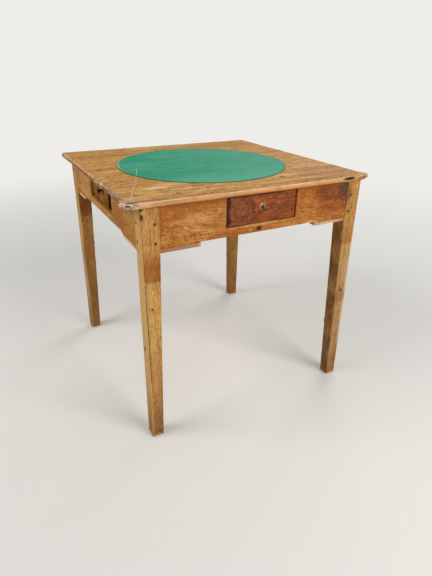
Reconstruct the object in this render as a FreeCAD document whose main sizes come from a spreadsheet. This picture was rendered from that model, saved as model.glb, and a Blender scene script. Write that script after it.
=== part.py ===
"""A square pine games table with a round cloth playing surface and four drawers.

Millimetres. The origin is on the floor under the middle of the top, +Z is up,
the front faces -Y and the left side faces -X.
"""
import FreeCAD, Part

import math
import os
from types import SimpleNamespace

import Sketcher
from FreeCAD import Placement, Rotation, Vector

os.makedirs("parts", exist_ok=True)
doc = FreeCAD.newDocument("games_table")

# Driving sizes: value in millimetres and what it measures
SIZES = {
    "table_height": (740, "floor to the wooden playing top"),
    "end_overhang": (31, "top beyond the legs at its left and right ends"),
    "edge_overhang": (5, "top beyond the legs at its front and back edges"),
    "top_thickness": (16, "thickness of the top boards"),
    "top_corner_radius": (6, "rounding of the four upright corners of the top"),
    "top_nose_radius": (5, "worn rounding of the top's upper edge"),
    "top_lower_radius": (2, "worn rounding of the top's lower edge"),
    "felt_radius": (280, "round cloth on the top"),
    "felt_thickness": (2, "thickness of the cloth"),
    "felt_shift_x": (-10, "middle of the cloth from the middle of the top, sideways"),
    "felt_shift_y": (-12, "middle of the cloth from the middle of the top, front to back"),
    "frame_length": (716, "outer leg face to outer leg face, left to right"),
    "frame_depth": (752, "outer leg face to outer leg face, front to back"),
    "leg_head": (48, "side of the square head of a leg"),
    "leg_foot": (36, "side of the square foot of a leg"),
    "leg_splay": (6, "how far a foot stands outside the head"),
    "taper_drop": (8, "where the taper starts below the aprons"),
    "foot_chamfer": (3, "worn edge round the sole of a foot"),
    "apron_thickness": (22, "thickness of the apron boards"),
    "apron_inset": (2, "apron face behind the leg face"),
    "apron_height": (110, "apron at its raised middle"),
    "ear_drop": (13, "ears at the apron ends below the raised middle"),
    "ear_length": (117, "length of an ear from the leg"),
    "ear_curve_run": (50, "length of the curved step on the side aprons"),
    "quirk_width": (2, "groove that marks off the lower edge of an ear"),
    "quirk_depth": (1.2, "depth of that groove"),
    "tenon_thickness": (9, "thickness of the apron tenons"),
    "tenon_length": (27, "length of the apron tenons"),
    "tenon_shoulder": (14, "shoulder above and below a tenon"),
    "tenon_gap": (0.2, "clearance round a tenon in its mortise"),
    "peg_radius": (3.8, "tenon pegs"),
    "peg_length": (30, "length of a tenon peg in the leg"),
    "peg_proud": (0.5, "end of a tenon peg outside the leg face"),
    "peg_gap": (0.1, "clearance round a tenon peg"),
    "peg_setback": (12, "peg axis behind the leg's inner face"),
    "upper_peg_drop": (43, "upper peg below the top's underside"),
    "lower_peg_drop": (94, "lower peg below the top's underside"),
    "nail_radius": (1.8, "nails through the top"),
    "nail_length": (48, "length of a nail through the top"),
    "nail_gap": (0.05, "clearance round a nail"),
    "nail_from_leg": (25, "outer nails from the leg"),
    "opening_width": (234, "drawer opening between its jambs"),
    "opening_height": (85.5, "drawer opening from its rail to the top's underside"),
    "runner_ledge": (14, "part of a runner that reaches under the drawer side"),
    "runner_depth": (16, "thickness of a runner's ledge"),
    "guide_thickness": (18, "wall of a runner beside the drawer"),
    "guide_height": (24, "that wall above the ledge"),
    "stop_length": (12, "drawer stop, along the drawer's travel"),
    "stop_width": (10, "drawer stop, across the ledge"),
    "stop_height": (15, "drawer stop above the ledge"),
    "stop_gap": (0.3, "clearance between a stop and the shut drawer"),
    "front_end_room": (28, "room behind the stops of the front and back drawers"),
    "side_end_room": (5, "room behind the stops of the left and right drawers"),
    "drawer_side_gap": (1.5, "clearance beside a drawer"),
    "drawer_under_gap": (0.3, "clearance under a drawer"),
    "drawer_over_gap": (1.2, "clearance over a drawer front"),
    "front_recess": (4, "front and back drawer faces behind the apron face"),
    "side_recess": (9, "left and right drawer faces behind the apron face"),
    "face_thickness": (19, "thickness of a drawer front"),
    "side_thickness": (10, "thickness of a drawer side"),
    "side_drop": (5, "drawer sides below the top of the front"),
    "back_thickness": (9, "thickness of a drawer back"),
    "back_drop": (4, "drawer back below the top of the sides"),
    "back_setback": (6, "drawer back in from the back ends of the sides"),
    "bottom_thickness": (6, "thickness of a drawer bottom"),
    "bottom_rise": (8, "drawer bottom above the lower edge of the sides"),
    "groove_depth": (4, "groove that holds the drawer bottom"),
    "groove_gap": (0.3, "clearance of the drawer bottom in its groove"),
    "tail_length": (13, "dovetails that lap into the drawer front"),
    "tail_root": (16, "width of a dovetail at its root"),
    "tail_tip": (22, "width of a dovetail at its tip"),
    "brad_radius": (1.1, "small nails of the drawers"),
    "brad_length": (24, "length of a small nail"),
    "knob_rise": (4, "knob above the middle of the drawer front"),
    "rosette_radius": (11.5, "round plate behind a knob"),
    "rosette_rim": (0.8, "thickness of that plate at its rim"),
    "rosette_height": (2.5, "thickness of that plate at the knob"),
    "rosette_boss_radius": (6, "flat middle of that plate"),
    "shank_radius": (2.2, "threaded shank of a knob"),
    "shank_end": (1.5, "shank end beyond its nut"),
    "shank_gap": (0.1, "clearance round the shank"),
    "neck_radius": (4, "narrow neck of a knob"),
    "neck_foot_radius": (5.5, "foot of that neck on the plate"),
    "neck_length": (7, "length of the neck"),
    "head_radius": (7.5, "round head of a knob"),
    "head_height": (8, "height of that head"),
    "head_rim": (2.5, "width of the raised rim on the head's end"),
    "dish_depth": (1.2, "hollow in the head's end"),
    "nut_side": (9, "side of the square nut"),
    "nut_thickness": (3, "thickness of the square nut"),
    "overrun": (5, "length by which a cutting shape passes a face"),
}

# Places along a length, as shares of that length
TOP_BOARD_EDGE_SHARES = (0, 0.25, 0.5, 0.75, 1)
TAIL_HEIGHT_SHARES = (0.27, 0.73)
SIDE_BRAD_HEIGHT_SHARES = (0.42, 0.78)
BOTTOM_BRAD_WIDTH_SHARES = (-0.3, 0, 0.3)

# Heights closer than this count as one level
SAME_LEVEL = 1e-6

sheet = doc.addObject("Spreadsheet::Sheet", "Sizes")
for row, (name, (number, meaning)) in enumerate(SIZES.items(), start=1):
    sheet.set(f"A{row}", meaning)
    sheet.set(f"B{row}", str(number))
    sheet.setAlias(f"B{row}", name)
doc.recompute()


class Length:
    """A number together with the formula of sheet cells that it follows."""

    def __init__(self, number, formula):
        self.number = float(number)
        self.formula = formula

    def __add__(self, other):
        other = length(other)
        return Length(self.number + other.number, f"({self.formula} + {other.formula})")

    def __sub__(self, other):
        other = length(other)
        return Length(self.number - other.number, f"({self.formula} - {other.formula})")

    def __mul__(self, factor):
        return Length(self.number * factor, f"({self.formula} * {factor})")

    def __truediv__(self, divisor):
        return Length(self.number / divisor, f"({self.formula} / {divisor})")

    def __neg__(self):
        return self * -1


def length(item):
    return item if isinstance(item, Length) else Length(item, str(item))


def arc_radius(half_width, height):
    """The radius of an arc that starts level and climbs this height over this width."""
    number = (half_width.number ** 2 + height.number ** 2) / (2 * height.number)
    return Length(number, f"({half_width.formula} ^ 2 + {height.formula} ^ 2) / (2 * {height.formula})")


size = SimpleNamespace(**{name: Length(sheet.get(name), f"Sizes.{name}") for name in SIZES})
ZERO = length(0)

# Directions in which a cylinder or a turned piece can point
UP = Rotation()
OUTWARD = Rotation(Vector(1, 0, 0), 90)
INWARD = Rotation(Vector(1, 0, 0), -90)
RIGHTWARD = Rotation(Vector(0, 1, 0), 90)

# Building blocks


def bind(thing, **lengths):
    for name, item in lengths.items():
        thing.setExpression(name, length(item).formula)
    return thing


def place(thing, corner=(ZERO, ZERO, ZERO), turn=UP):
    """Put a thing at a corner, with its place bound to the sheet."""
    corner = [length(item) for item in corner]
    thing.Placement = Placement(Vector(*(item.number for item in corner)), turn)
    for axis, item in zip("xyz", corner):
        thing.setExpression(f"Placement.Base.{axis}", item.formula)
    return thing


def box(label, corner, extent):
    block = doc.addObject("Part::Box", label)
    bind(block, Length=extent[0], Width=extent[1], Height=extent[2])
    return place(block, corner)


def rod(label, start, turn, radius, reach):
    """A cylinder from its start along its turned axis."""
    cylinder = doc.addObject("Part::Cylinder", label)
    bind(cylinder, Radius=radius, Height=reach)
    return place(cylinder, start, turn)


def gather(kind, label, shapes):
    group = doc.addObject(kind, label)
    if kind == "Part::Compound":
        group.Links = shapes
    else:
        group.Shapes = shapes
    return group


def fuse(label, shapes):
    return gather("Part::MultiFuse", label, shapes)


def cut(label, base, tools):
    result = doc.addObject("Part::Cut", label)
    result.Base = base
    result.Tool = tools[0] if len(tools) == 1 else gather("Part::Compound", f"{label}_cuts", tools)
    return result


def plane_of(body, role):
    return next(item for item in body.Origin.OriginFeatures if item.Role == role)


def arc_between(start, end, bend):
    """An arc that turns left for a positive bend and right for a negative one."""
    middle = (start + end) / 2
    chord = end - start
    reach = math.sqrt(bend ** 2 - (chord.Length / 2) ** 2)
    left = Vector(-chord.y, chord.x, 0).normalize()
    centre = middle + left * math.copysign(reach, bend)
    circle = Part.Circle(centre, Vector(0, 0, 1), abs(bend))
    first, last = (start, end) if bend > 0 else (end, start)
    return Part.ArcOfCircle(circle, circle.parameter(first), circle.parameter(last))


def outline(body, name, role, corners, lift=None):
    """A closed sketch through corners (x, y) or (x, y, bend), each bound to the sheet.

    A bend is the signed radius of the arc that leads on to the next corner.
    """
    sketch = body.newObject("Sketcher::SketchObject", name)
    sketch.AttachmentSupport = [(plane_of(body, role), "")]
    sketch.MapMode = "FlatFace"
    if lift is not None:
        sketch.AttachmentOffset = Placement(Vector(0, 0, lift.number), Rotation())
        sketch.setExpression("AttachmentOffset.Base.z", lift.formula)
    points = [Vector(length(item[0]).number, length(item[1]).number, 0) for item in corners]
    bends = [item[2] if len(item) > 2 else None for item in corners]
    first_ends, last_ends = [], []
    for here, bend in enumerate(bends):
        start, end = points[here], points[(here + 1) % len(points)]
        if bend is None:
            sketch.addGeometry(Part.LineSegment(start, end), False)
        else:
            sketch.addGeometry(arc_between(start, end, bend.number), False)
        runs_forward = bend is None or bend.number > 0
        first_ends.append(1 if runs_forward else 2)
        last_ends.append(2 if runs_forward else 1)
    for here in range(len(points)):
        after = (here + 1) % len(points)
        sketch.addConstraint(
            Sketcher.Constraint("Coincident", here, last_ends[here], after, first_ends[after]))
    for here, item in enumerate(corners):
        for axis, place_along in zip("XY", item):
            measure(sketch, f"corner{here}{axis}", length(place_along),
                    f"Distance{axis}", -1, 1, here, first_ends[here])
        if bends[here] is not None:
            radius = bends[here] if bends[here].number > 0 else -bends[here]
            measure(sketch, f"bend{here}", radius, "Radius", here)
    return sketch


def measure(sketch, name, item, kind, *where):
    index = sketch.addConstraint(Sketcher.Constraint(kind, *where, item.number))
    sketch.renameConstraint(index, name)
    sketch.setExpression(f"Constraints.{name}", item.formula)


def rectangle(low, high):
    return [(low[0], low[1]), (high[0], low[1]), (high[0], high[1]), (low[0], high[1])]


def pad(body, name, sketch, depth, symmetric=False):
    feature = body.newObject("PartDesign::Pad", name)
    feature.Profile = sketch
    feature.SideType = "Symmetric" if symmetric else "One side"
    bind(feature, Length=depth)
    return feature


def pocket(body, name, sketch, depth):
    feature = body.newObject("PartDesign::Pocket", name)
    feature.Profile = sketch
    bind(feature, Length=depth)
    return feature


def dress(kind, body, name, base, wanted, **lengths):
    """Round or chamfer the edges of a feature that the wanted test picks."""
    doc.recompute()
    edges = [f"Edge{index}" for index, edge in enumerate(base.Shape.Edges, start=1) if wanted(edge)]
    feature = body.newObject(kind, name)
    feature.Base = (base, edges)
    return bind(feature, **lengths)


def turned(label, profile):
    """A body turned round its own Z axis from a profile of (radius, height) corners."""
    body = doc.addObject("PartDesign::Body", label)
    sketch = outline(body, f"{label}_profile", "XZ_Plane", profile)
    feature = body.newObject("PartDesign::Revolution", f"{label}_turning")
    feature.Profile = sketch
    feature.ReferenceAxis = (sketch, ["V_Axis"])
    return body


def level_at(edge, height):
    """Whether a whole edge lies at one height."""
    bounds = edge.BoundBox
    return max(abs(bounds.ZMin - height), abs(bounds.ZMax - height)) < SAME_LEVEL


def span(sign, near, far):
    """The lower end and the width of a stretch on one side of the middle."""
    return (near if sign > 0 else -far), far - near


parts = []


def keep(*pieces):
    parts.extend(pieces)


# Places that several pieces share
under_top = size.table_height - size.top_thickness
top_length = size.frame_length + size.end_overhang * 2
top_depth = size.frame_depth + size.edge_overhang * 2
half_length = size.frame_length / 2
half_depth = size.frame_depth / 2
half_opening = size.opening_width / 2
ear_bottom = size.apron_height + size.ear_drop
rail_top = under_top - size.opening_height
apron_middle = size.apron_inset + size.apron_thickness / 2
peg_drops = (size.upper_peg_drop, size.lower_peg_drop)
tenon_top = size.tenon_shoulder
tenon_bottom = ear_bottom - size.tenon_shoulder
outer_seam = top_depth * TOP_BOARD_EDGE_SHARES[-2] - top_depth / 2
leg_pair = size.leg_head * 2


def way(angle, out, reach, recess, end_room, clear, curved):
    """One side of the table: its direction, its apron and the depth of its drawer."""
    behind = half_opening + size.guide_thickness + end_room + size.stop_length + size.stop_gap
    return SimpleNamespace(angle=angle, out=out, reach=reach, recess=recess, clear=clear, curved=curved,
                           drawer_depth=reach - size.apron_inset - recess - behind)


def long_way(angle, out):
    return way(angle, out, half_depth, size.front_recess, size.front_end_room,
               size.frame_length - leg_pair, curved=False)


def short_way(angle, out):
    return way(angle, out, half_length, size.side_recess, size.side_end_room,
               size.frame_depth - leg_pair, curved=True)


SIDES = {
    "front": long_way(angle=0, out=(0, -1)),
    "right": short_way(angle=90, out=(1, 0)),
    "back": long_way(angle=180, out=(0, 1)),
    "left": short_way(angle=270, out=(-1, 0)),
}


def facing(angle):
    return Rotation(Vector(0, 0, 1), angle)


def on_side(thing, side, distance, height):
    """Turn a thing to face one side of the table and set it that far out and up."""
    return place(thing, (distance * side.out[0], distance * side.out[1], height), facing(side.angle))


# Legs, drawn with their outer corner on their own Z axis

CORNERS = {
    "front_left": SimpleNamespace(angle=0, out=(-1, -1)),
    "front_right": SimpleNamespace(angle=90, out=(1, -1)),
    "back_right": SimpleNamespace(angle=180, out=(1, 1)),
    "back_left": SimpleNamespace(angle=270, out=(-1, 1)),
}


def at_corner(thing, corner):
    spot = (half_length * corner.out[0], half_depth * corner.out[1], ZERO)
    return place(thing, spot, facing(corner.angle))


def leg_blank(label):
    body = doc.addObject("PartDesign::Body", label)
    foot_low, foot_high = -size.leg_splay, size.leg_foot - size.leg_splay
    sole_low, sole_high = foot_low + size.foot_chamfer, foot_high - size.foot_chamfer
    head_start = under_top - ear_bottom - size.taper_drop
    square = rectangle((ZERO, ZERO), (size.leg_head, size.leg_head))
    sole = outline(body, f"{label}_sole", "XY_Plane", rectangle((sole_low, sole_low), (sole_high, sole_high)))
    foot = outline(body, f"{label}_foot", "XY_Plane", rectangle((foot_low, foot_low), (foot_high, foot_high)),
                   size.foot_chamfer)
    neck = outline(body, f"{label}_neck", "XY_Plane", square, head_start)
    taper = body.newObject("PartDesign::AdditiveLoft", f"{label}_taper")
    taper.Profile = sole
    taper.Sections = [foot, neck]
    taper.Ruled = True
    head_base = outline(body, f"{label}_head_base", "XY_Plane", square, head_start)
    pad(body, f"{label}_head", head_base, ear_bottom + size.taper_drop)
    return body


def mortises(label):
    """Blind mortises for the two aprons that meet in a leg."""
    depth = size.tenon_length + size.tenon_gap
    width = size.tenon_thickness + size.tenon_gap * 2
    across = apron_middle - width / 2
    low = under_top - tenon_bottom - size.tenon_gap
    tall = tenon_bottom - tenon_top + size.tenon_gap * 2
    along = size.leg_head - depth
    reach = depth + size.overrun
    return [box(f"{label}_mortise_x", (along, across, low), (reach, width, tall)),
            box(f"{label}_mortise_y", (across, along, low), (width, reach, tall))]


def leg_pegs(label, radius, start, end):
    """Cylinders where the pegs of a leg run, from start to end behind its outer faces."""
    setback = size.leg_head - size.peg_setback
    rods = []
    for level, drop in zip(("upper", "lower"), peg_drops):
        height = under_top - drop
        rods.append(rod(f"{label}_{level}_y", (setback, start, height), INWARD, radius, end - start))
        rods.append(rod(f"{label}_{level}_x", (start, setback, height), RIGHTWARD, radius, end - start))
    return rods


leg_peg_groups = []
for name, corner in CORNERS.items():
    label = f"{name}_leg"
    holes = leg_pegs(f"{label}_peg_hole", size.peg_radius + size.peg_gap,
                     -size.overrun, size.peg_length + size.peg_gap)
    leg = cut(label, leg_blank(f"{label}_blank"), mortises(label) + holes)
    keep(at_corner(leg, corner))
    pegs = gather("Part::Compound", f"{name}_pegs",
                  leg_pegs(f"{name}_peg", size.peg_radius, -size.peg_proud, size.peg_length))
    leg_peg_groups.append(at_corner(pegs, corner))
keep(gather("Part::Compound", "tenon_pegs", leg_peg_groups))

# Aprons, drawn from their top edge at mid thickness


def ear_step(side, edge):
    """The corners of the step from the left ear up to the raised middle."""
    if not side.curved:
        return [(-edge, -ear_bottom), (-edge, -size.apron_height)]
    half_run, half_rise = size.ear_curve_run / 2, size.ear_drop / 2
    bend = arc_radius(half_run, half_rise)
    return [(-edge - half_run, -ear_bottom, bend),
            (-edge, -size.apron_height - half_rise, -bend),
            (-edge + half_run, -size.apron_height)]


def mirrored(corners):
    """The same corners on the other side of the middle, in reverse order."""
    points = [(-corner[0], corner[1]) for corner in reversed(corners)]
    bends = [corner[2:] for corner in reversed(corners[:-1])] + [()]
    return [point + bend for point, bend in zip(points, bends)]


def apron_outline(side):
    half = side.clear / 2
    step = ear_step(side, half - size.ear_length)
    notch = [(half_opening, ZERO), (half_opening, -size.opening_height),
             (-half_opening, -size.opening_height), (-half_opening, ZERO)]
    return ([(-half, -ear_bottom)] + step + mirrored(step) + [(half, -ear_bottom), (half, ZERO)]
            + notch + [(-half, ZERO)])


def nail_places(side):
    """Nails near the legs, and nails halfway between the opening and the outer seam of the top."""
    inner = (half_opening + outer_seam) / 2
    outer = side.clear / 2 - size.nail_from_leg
    return [-outer, -inner, inner, outer]


def apron(name, side):
    label = f"{name}_apron"
    half = side.clear / 2
    body = doc.addObject("PartDesign::Body", f"{label}_board")
    face = outline(body, f"{label}_face", "XZ_Plane", apron_outline(side))
    pad(body, f"{label}_thickness", face, size.apron_thickness, symmetric=True)
    for end, sign in (("left", -1), ("right", 1)):
        start, width = span(sign, half, half + size.tenon_length)
        tenon = outline(body, f"{label}_{end}_tenon_face", "XZ_Plane",
                        rectangle((start, -tenon_bottom), (start + width, -tenon_top)))
        pad(body, f"{label}_{end}_tenon", tenon, size.tenon_thickness, symmetric=True)
    ear_end = half - size.ear_length - (size.ear_curve_run / 2 if side.curved else ZERO)
    for end, sign in (("left", -1), ("right", 1)):
        start, width = span(sign, ear_end, half)
        quirk_low = -size.apron_height - size.quirk_width / 2
        quirk = outline(body, f"{label}_{end}_quirk_face", "XZ_Plane",
                        rectangle((start, quirk_low), (start + width, quirk_low + size.quirk_width)),
                        size.apron_thickness / 2)
        pocket(body, f"{label}_{end}_quirk", quirk, size.quirk_depth)
    holes = []
    for end, sign in (("left", -1), ("right", 1)):
        for level, drop in zip(("upper", "lower"), peg_drops):
            start = ((half + size.peg_setback) * sign, size.tenon_thickness * -1, -drop)
            holes.append(rod(f"{label}_{end}_{level}_peg_hole", start, INWARD,
                             size.peg_radius + size.peg_gap, size.tenon_thickness * 2))
    for number, along in enumerate(nail_places(side), start=1):
        depth = size.nail_length - size.top_thickness + size.nail_gap
        holes.append(rod(f"{label}_nail_hole_{number}", (along, ZERO, -depth), UP,
                         size.nail_radius + size.nail_gap, depth + size.overrun))
    return on_side(cut(label, body, holes), side, side.reach - apron_middle, under_top)


for name, side in SIDES.items():
    keep(apron(name, side))

# Top boards, cut from one rounded top


def top_blank():
    body = doc.addObject("PartDesign::Body", "top_blank")
    half = (top_length / 2, top_depth / 2)
    face = outline(body, "top_plan", "XY_Plane", rectangle((-half[0], -half[1]), half))
    slab = pad(body, "top_slab", face, size.top_thickness)
    corners = dress("PartDesign::Fillet", body, "top_corners", slab,
                    lambda edge: edge.BoundBox.ZLength > edge.BoundBox.XLength + edge.BoundBox.YLength,
                    Radius=size.top_corner_radius)
    nose = dress("PartDesign::Fillet", body, "top_nose", corners,
                 lambda edge: level_at(edge, size.top_thickness.number), Radius=size.top_nose_radius)
    dress("PartDesign::Fillet", body, "top_lower_edge", nose,
          lambda edge: level_at(edge, 0), Radius=size.top_lower_radius)
    return place(body, (ZERO, ZERO, under_top))


def top_nails(label, radius, start, end):
    """Upright cylinders over the aprons, between two heights."""
    rods = []
    for name, side in SIDES.items():
        group = [rod(f"{label}_{name}_{number}", (along, ZERO, start), UP, radius, end - start)
                 for number, along in enumerate(nail_places(side), start=1)]
        row = gather("Part::Compound", f"{label}_{name}", group)
        rods.append(on_side(row, side, side.reach - apron_middle, ZERO))
    return rods


blank = top_blank()
nail_holes = top_nails("top_nail_hole", size.nail_radius + size.nail_gap,
                       under_top - size.overrun, size.table_height + size.overrun)
for number, (low, high) in enumerate(zip(TOP_BOARD_EDGE_SHARES, TOP_BOARD_EDGE_SHARES[1:]), start=1):
    slab = box(f"top_board_{number}_slab",
               (-top_length / 2, top_depth * low - top_depth / 2, under_top),
               (top_length, top_depth * (high - low), size.top_thickness))
    board = doc.addObject("Part::Common", f"top_board_{number}_plain")
    board.Base = blank
    board.Tool = slab
    keep(cut(f"top_board_{number}", board, nail_holes))
keep(gather("Part::Compound", "top_nails",
            top_nails("top_nail", size.nail_radius, size.table_height - size.nail_length, size.table_height)))

keep(rod("playing_cloth", (size.felt_shift_x, size.felt_shift_y, size.table_height), UP,
         size.felt_radius, size.felt_thickness))

# Drawer runners: a ledge under the drawer side and a guide wall beside it

apron_back = size.apron_inset + size.apron_thickness


def runner(label, side, sign, start, end):
    """A runner on one side of a drawer's way, between two places along that way."""
    ledge_x, ledge_width = span(sign, half_opening - size.runner_ledge, half_opening + size.guide_thickness)
    guide_x, guide_width = span(sign, half_opening, half_opening + size.guide_thickness)
    ledge = box(f"{label}_ledge", (ledge_x, start, rail_top - size.runner_depth),
                (ledge_width, end - start, size.runner_depth))
    guide = box(f"{label}_guide", (guide_x, start, rail_top), (guide_width, end - start, size.guide_height))
    return on_side(fuse(label, [ledge, guide]), side, ZERO, ZERO)


long_end = half_depth - apron_back
keep(runner("left_long_runner", SIDES["front"], -1, -long_end, long_end))
keep(runner("right_long_runner", SIDES["front"], 1, -long_end, long_end))
short_start = apron_back - half_length
short_end = -half_opening - size.guide_thickness
keep(runner("left_drawer_back_runner", SIDES["left"], -1, short_start, short_end))
keep(runner("left_drawer_front_runner", SIDES["left"], 1, short_start, short_end))
keep(runner("right_drawer_front_runner", SIDES["right"], -1, short_start, short_end))
keep(runner("right_drawer_back_runner", SIDES["right"], 1, short_start, short_end))

drawer_stops = []
for name, side in SIDES.items():
    back_end = size.apron_inset + side.recess + side.drawer_depth - side.reach
    pair = []
    for end, sign in (("left", -1), ("right", 1)):
        stop_start = half_opening - size.runner_ledge
        stop_x, stop_width = span(sign, stop_start, stop_start + size.stop_width)
        pair.append(box(f"{name}_{end}_stop", (stop_x, back_end + size.stop_gap, rail_top),
                        (stop_width, size.stop_length, size.stop_height)))
    drawer_stops.append(on_side(gather("Part::Compound", f"{name}_stops", pair), side, ZERO, ZERO))
keep(gather("Part::Compound", "drawer_stops", drawer_stops))

# Drawers, drawn from the lower edge of their faces, with +Y towards the middle of the table

drawer_width = size.opening_width - size.drawer_side_gap * 2
face_height = size.opening_height - size.drawer_under_gap - size.drawer_over_gap
side_height = face_height - size.side_drop
board_middle = (drawer_width - size.side_thickness) / 2
bottom_top = size.bottom_rise + size.bottom_thickness
knob_height = face_height / 2 + size.knob_rise


def back_start(depth):
    return depth - size.back_setback - size.back_thickness


def dovetailed_board(label, depth, sign):
    """A drawer side with its dovetails, standing at one end of the drawer front."""
    body = doc.addObject("PartDesign::Body", label)
    shoulder, tip = size.face_thickness, size.face_thickness - size.tail_length
    corners = [(shoulder, ZERO), (depth, ZERO), (depth, side_height), (shoulder, side_height)]
    for share in reversed(TAIL_HEIGHT_SHARES):
        middle = side_height * share
        corners += [(shoulder, middle + size.tail_root / 2), (tip, middle + size.tail_tip / 2),
                    (tip, middle - size.tail_tip / 2), (shoulder, middle - size.tail_root / 2)]
    profile = outline(body, f"{label}_profile", "YZ_Plane", corners)
    pad(body, f"{label}_thickness", profile, size.side_thickness, symmetric=True)
    return place(body, (board_middle * sign, ZERO, ZERO))


def drawer_brads(label, depth, radius, extra):
    """Small nails through the sides and up through the bottom, into the back board."""
    reach = size.brad_length + extra
    back_middle = back_start(depth) + size.back_thickness / 2
    starts = {"left": -drawer_width / 2, "right": drawer_width / 2 - reach}
    rods = [rod(f"{label}_{end}_{number}", (start, back_middle, side_height * share),
                RIGHTWARD, radius, reach)
            for end, start in starts.items()
            for number, share in enumerate(SIDE_BRAD_HEIGHT_SHARES, start=1)]
    rods += [rod(f"{label}_bottom_{number}", (drawer_width * share, back_middle, size.bottom_rise),
                 UP, radius, reach)
             for number, share in enumerate(BOTTOM_BRAD_WIDTH_SHARES, start=1)]
    return rods


def groove(label, depth):
    """The space of the groove that holds the drawer bottom, right across the drawer."""
    half = drawer_width / 2 - size.side_thickness + size.groove_depth
    start = size.face_thickness - size.groove_depth
    return box(label, (-half, start, size.bottom_rise),
               (half * 2, depth - start + size.overrun, size.bottom_thickness + size.groove_gap))


def bottom_board(label, depth):
    half = drawer_width / 2 - size.side_thickness + size.groove_depth - size.groove_gap
    start = size.face_thickness - size.groove_depth + size.groove_gap
    return box(label, (-half, start, size.bottom_rise), (half * 2, depth - start, size.bottom_thickness))


def knob(label):
    """A turned knob with a round dished head and a shank that passes through the drawer front."""
    shank_low = -size.face_thickness - size.nut_thickness - size.shank_end
    head_low = size.rosette_height + size.neck_length
    head_middle = head_low + size.head_height / 2
    head_top = head_low + size.head_height
    dish_radius = size.head_radius - size.head_rim
    return turned(label, [
        (ZERO, shank_low), (size.shank_radius, shank_low), (size.shank_radius, size.rosette_height),
        (size.neck_foot_radius, size.rosette_height, -size.neck_length),
        (size.neck_radius, head_low, size.head_height),
        (size.head_radius, head_middle, size.head_height),
        (dish_radius, head_top, -arc_radius(dish_radius, size.dish_depth)),
        (ZERO, head_top - size.dish_depth)])


def rosette(label):
    hole = size.shank_radius + size.shank_gap
    return turned(label, [
        (hole, ZERO), (size.rosette_radius, ZERO), (size.rosette_radius, size.rosette_rim),
        (size.rosette_boss_radius, size.rosette_height), (hole, size.rosette_height)])


def nut(label):
    low = -size.face_thickness - size.nut_thickness
    block = box(f"{label}_blank", (-size.nut_side / 2, -size.nut_side / 2, low),
                (size.nut_side, size.nut_side, size.nut_thickness))
    hole = rod(f"{label}_thread", (ZERO, ZERO, low - size.overrun), UP,
               size.shank_radius + size.shank_gap, size.nut_thickness + size.overrun * 2)
    return cut(label, block, [hole])


def drawer(name, side):
    label, depth = f"{name}_drawer", side.drawer_depth
    distance = side.reach - size.apron_inset - side.recess
    height = rail_top + size.drawer_under_gap
    boards = {"left": dovetailed_board(f"{label}_left_side_blank", depth, -1),
              "right": dovetailed_board(f"{label}_right_side_blank", depth, 1)}
    slot = groove(f"{label}_groove", depth)
    brad_holes = drawer_brads(f"{label}_brad_hole", depth, size.brad_radius + size.nail_gap, size.nail_gap)
    face_blank = box(f"{label}_front_blank", (-drawer_width / 2, ZERO, ZERO),
                     (drawer_width, size.face_thickness, face_height))
    knob_hole = rod(f"{label}_knob_hole", (ZERO, -size.overrun, knob_height), INWARD,
                    size.shank_radius + size.shank_gap, size.face_thickness + size.overrun * 2)
    front = cut(f"{label}_front", face_blank, [boards["left"], boards["right"], slot, knob_hole])
    sides = [cut(f"{label}_{end}_side", board, [slot] + brad_holes) for end, board in boards.items()]
    back_width = drawer_width - size.side_thickness * 2
    back_height = side_height - size.back_drop - bottom_top
    back_blank = box(f"{label}_back_blank", (-back_width / 2, back_start(depth), bottom_top),
                     (back_width, size.back_thickness, back_height))
    back = cut(f"{label}_back", back_blank, brad_holes)
    bottom = cut(f"{label}_bottom", bottom_board(f"{label}_bottom_blank", depth), brad_holes)
    brads = gather("Part::Compound", f"{label}_nails",
                   drawer_brads(f"{label}_nail", depth, size.brad_radius, ZERO))
    for piece in [front, *sides, back, bottom, brads]:
        keep(on_side(piece, side, distance, height))
    for piece in [knob(f"{label}_knob"), rosette(f"{label}_rosette"), nut(f"{label}_nut")]:
        corner = (distance * side.out[0], distance * side.out[1], height + knob_height)
        keep(place(piece, corner, facing(side.angle).multiply(OUTWARD)))


for name, side in SIDES.items():
    drawer(name, side)

# Check every object, then write each piece to its own file

doc.recompute()
for item in doc.Objects:
    if "Invalid" in item.State or "Error" in item.State:
        raise RuntimeError(f"{item.Label} failed: {item.State}")
for piece in parts:
    shape = piece.Shape
    if shape.isNull() or not shape.isValid() or not shape.Solids:
        raise RuntimeError(f"{piece.Label} has no valid shape")
    shape.exportStep(os.path.join("parts", f"{piece.Label}.step"))
    print(f"{piece.Label}: {len(shape.Solids)} solid(s), {shape.Volume:.0f} mm3")
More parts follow.
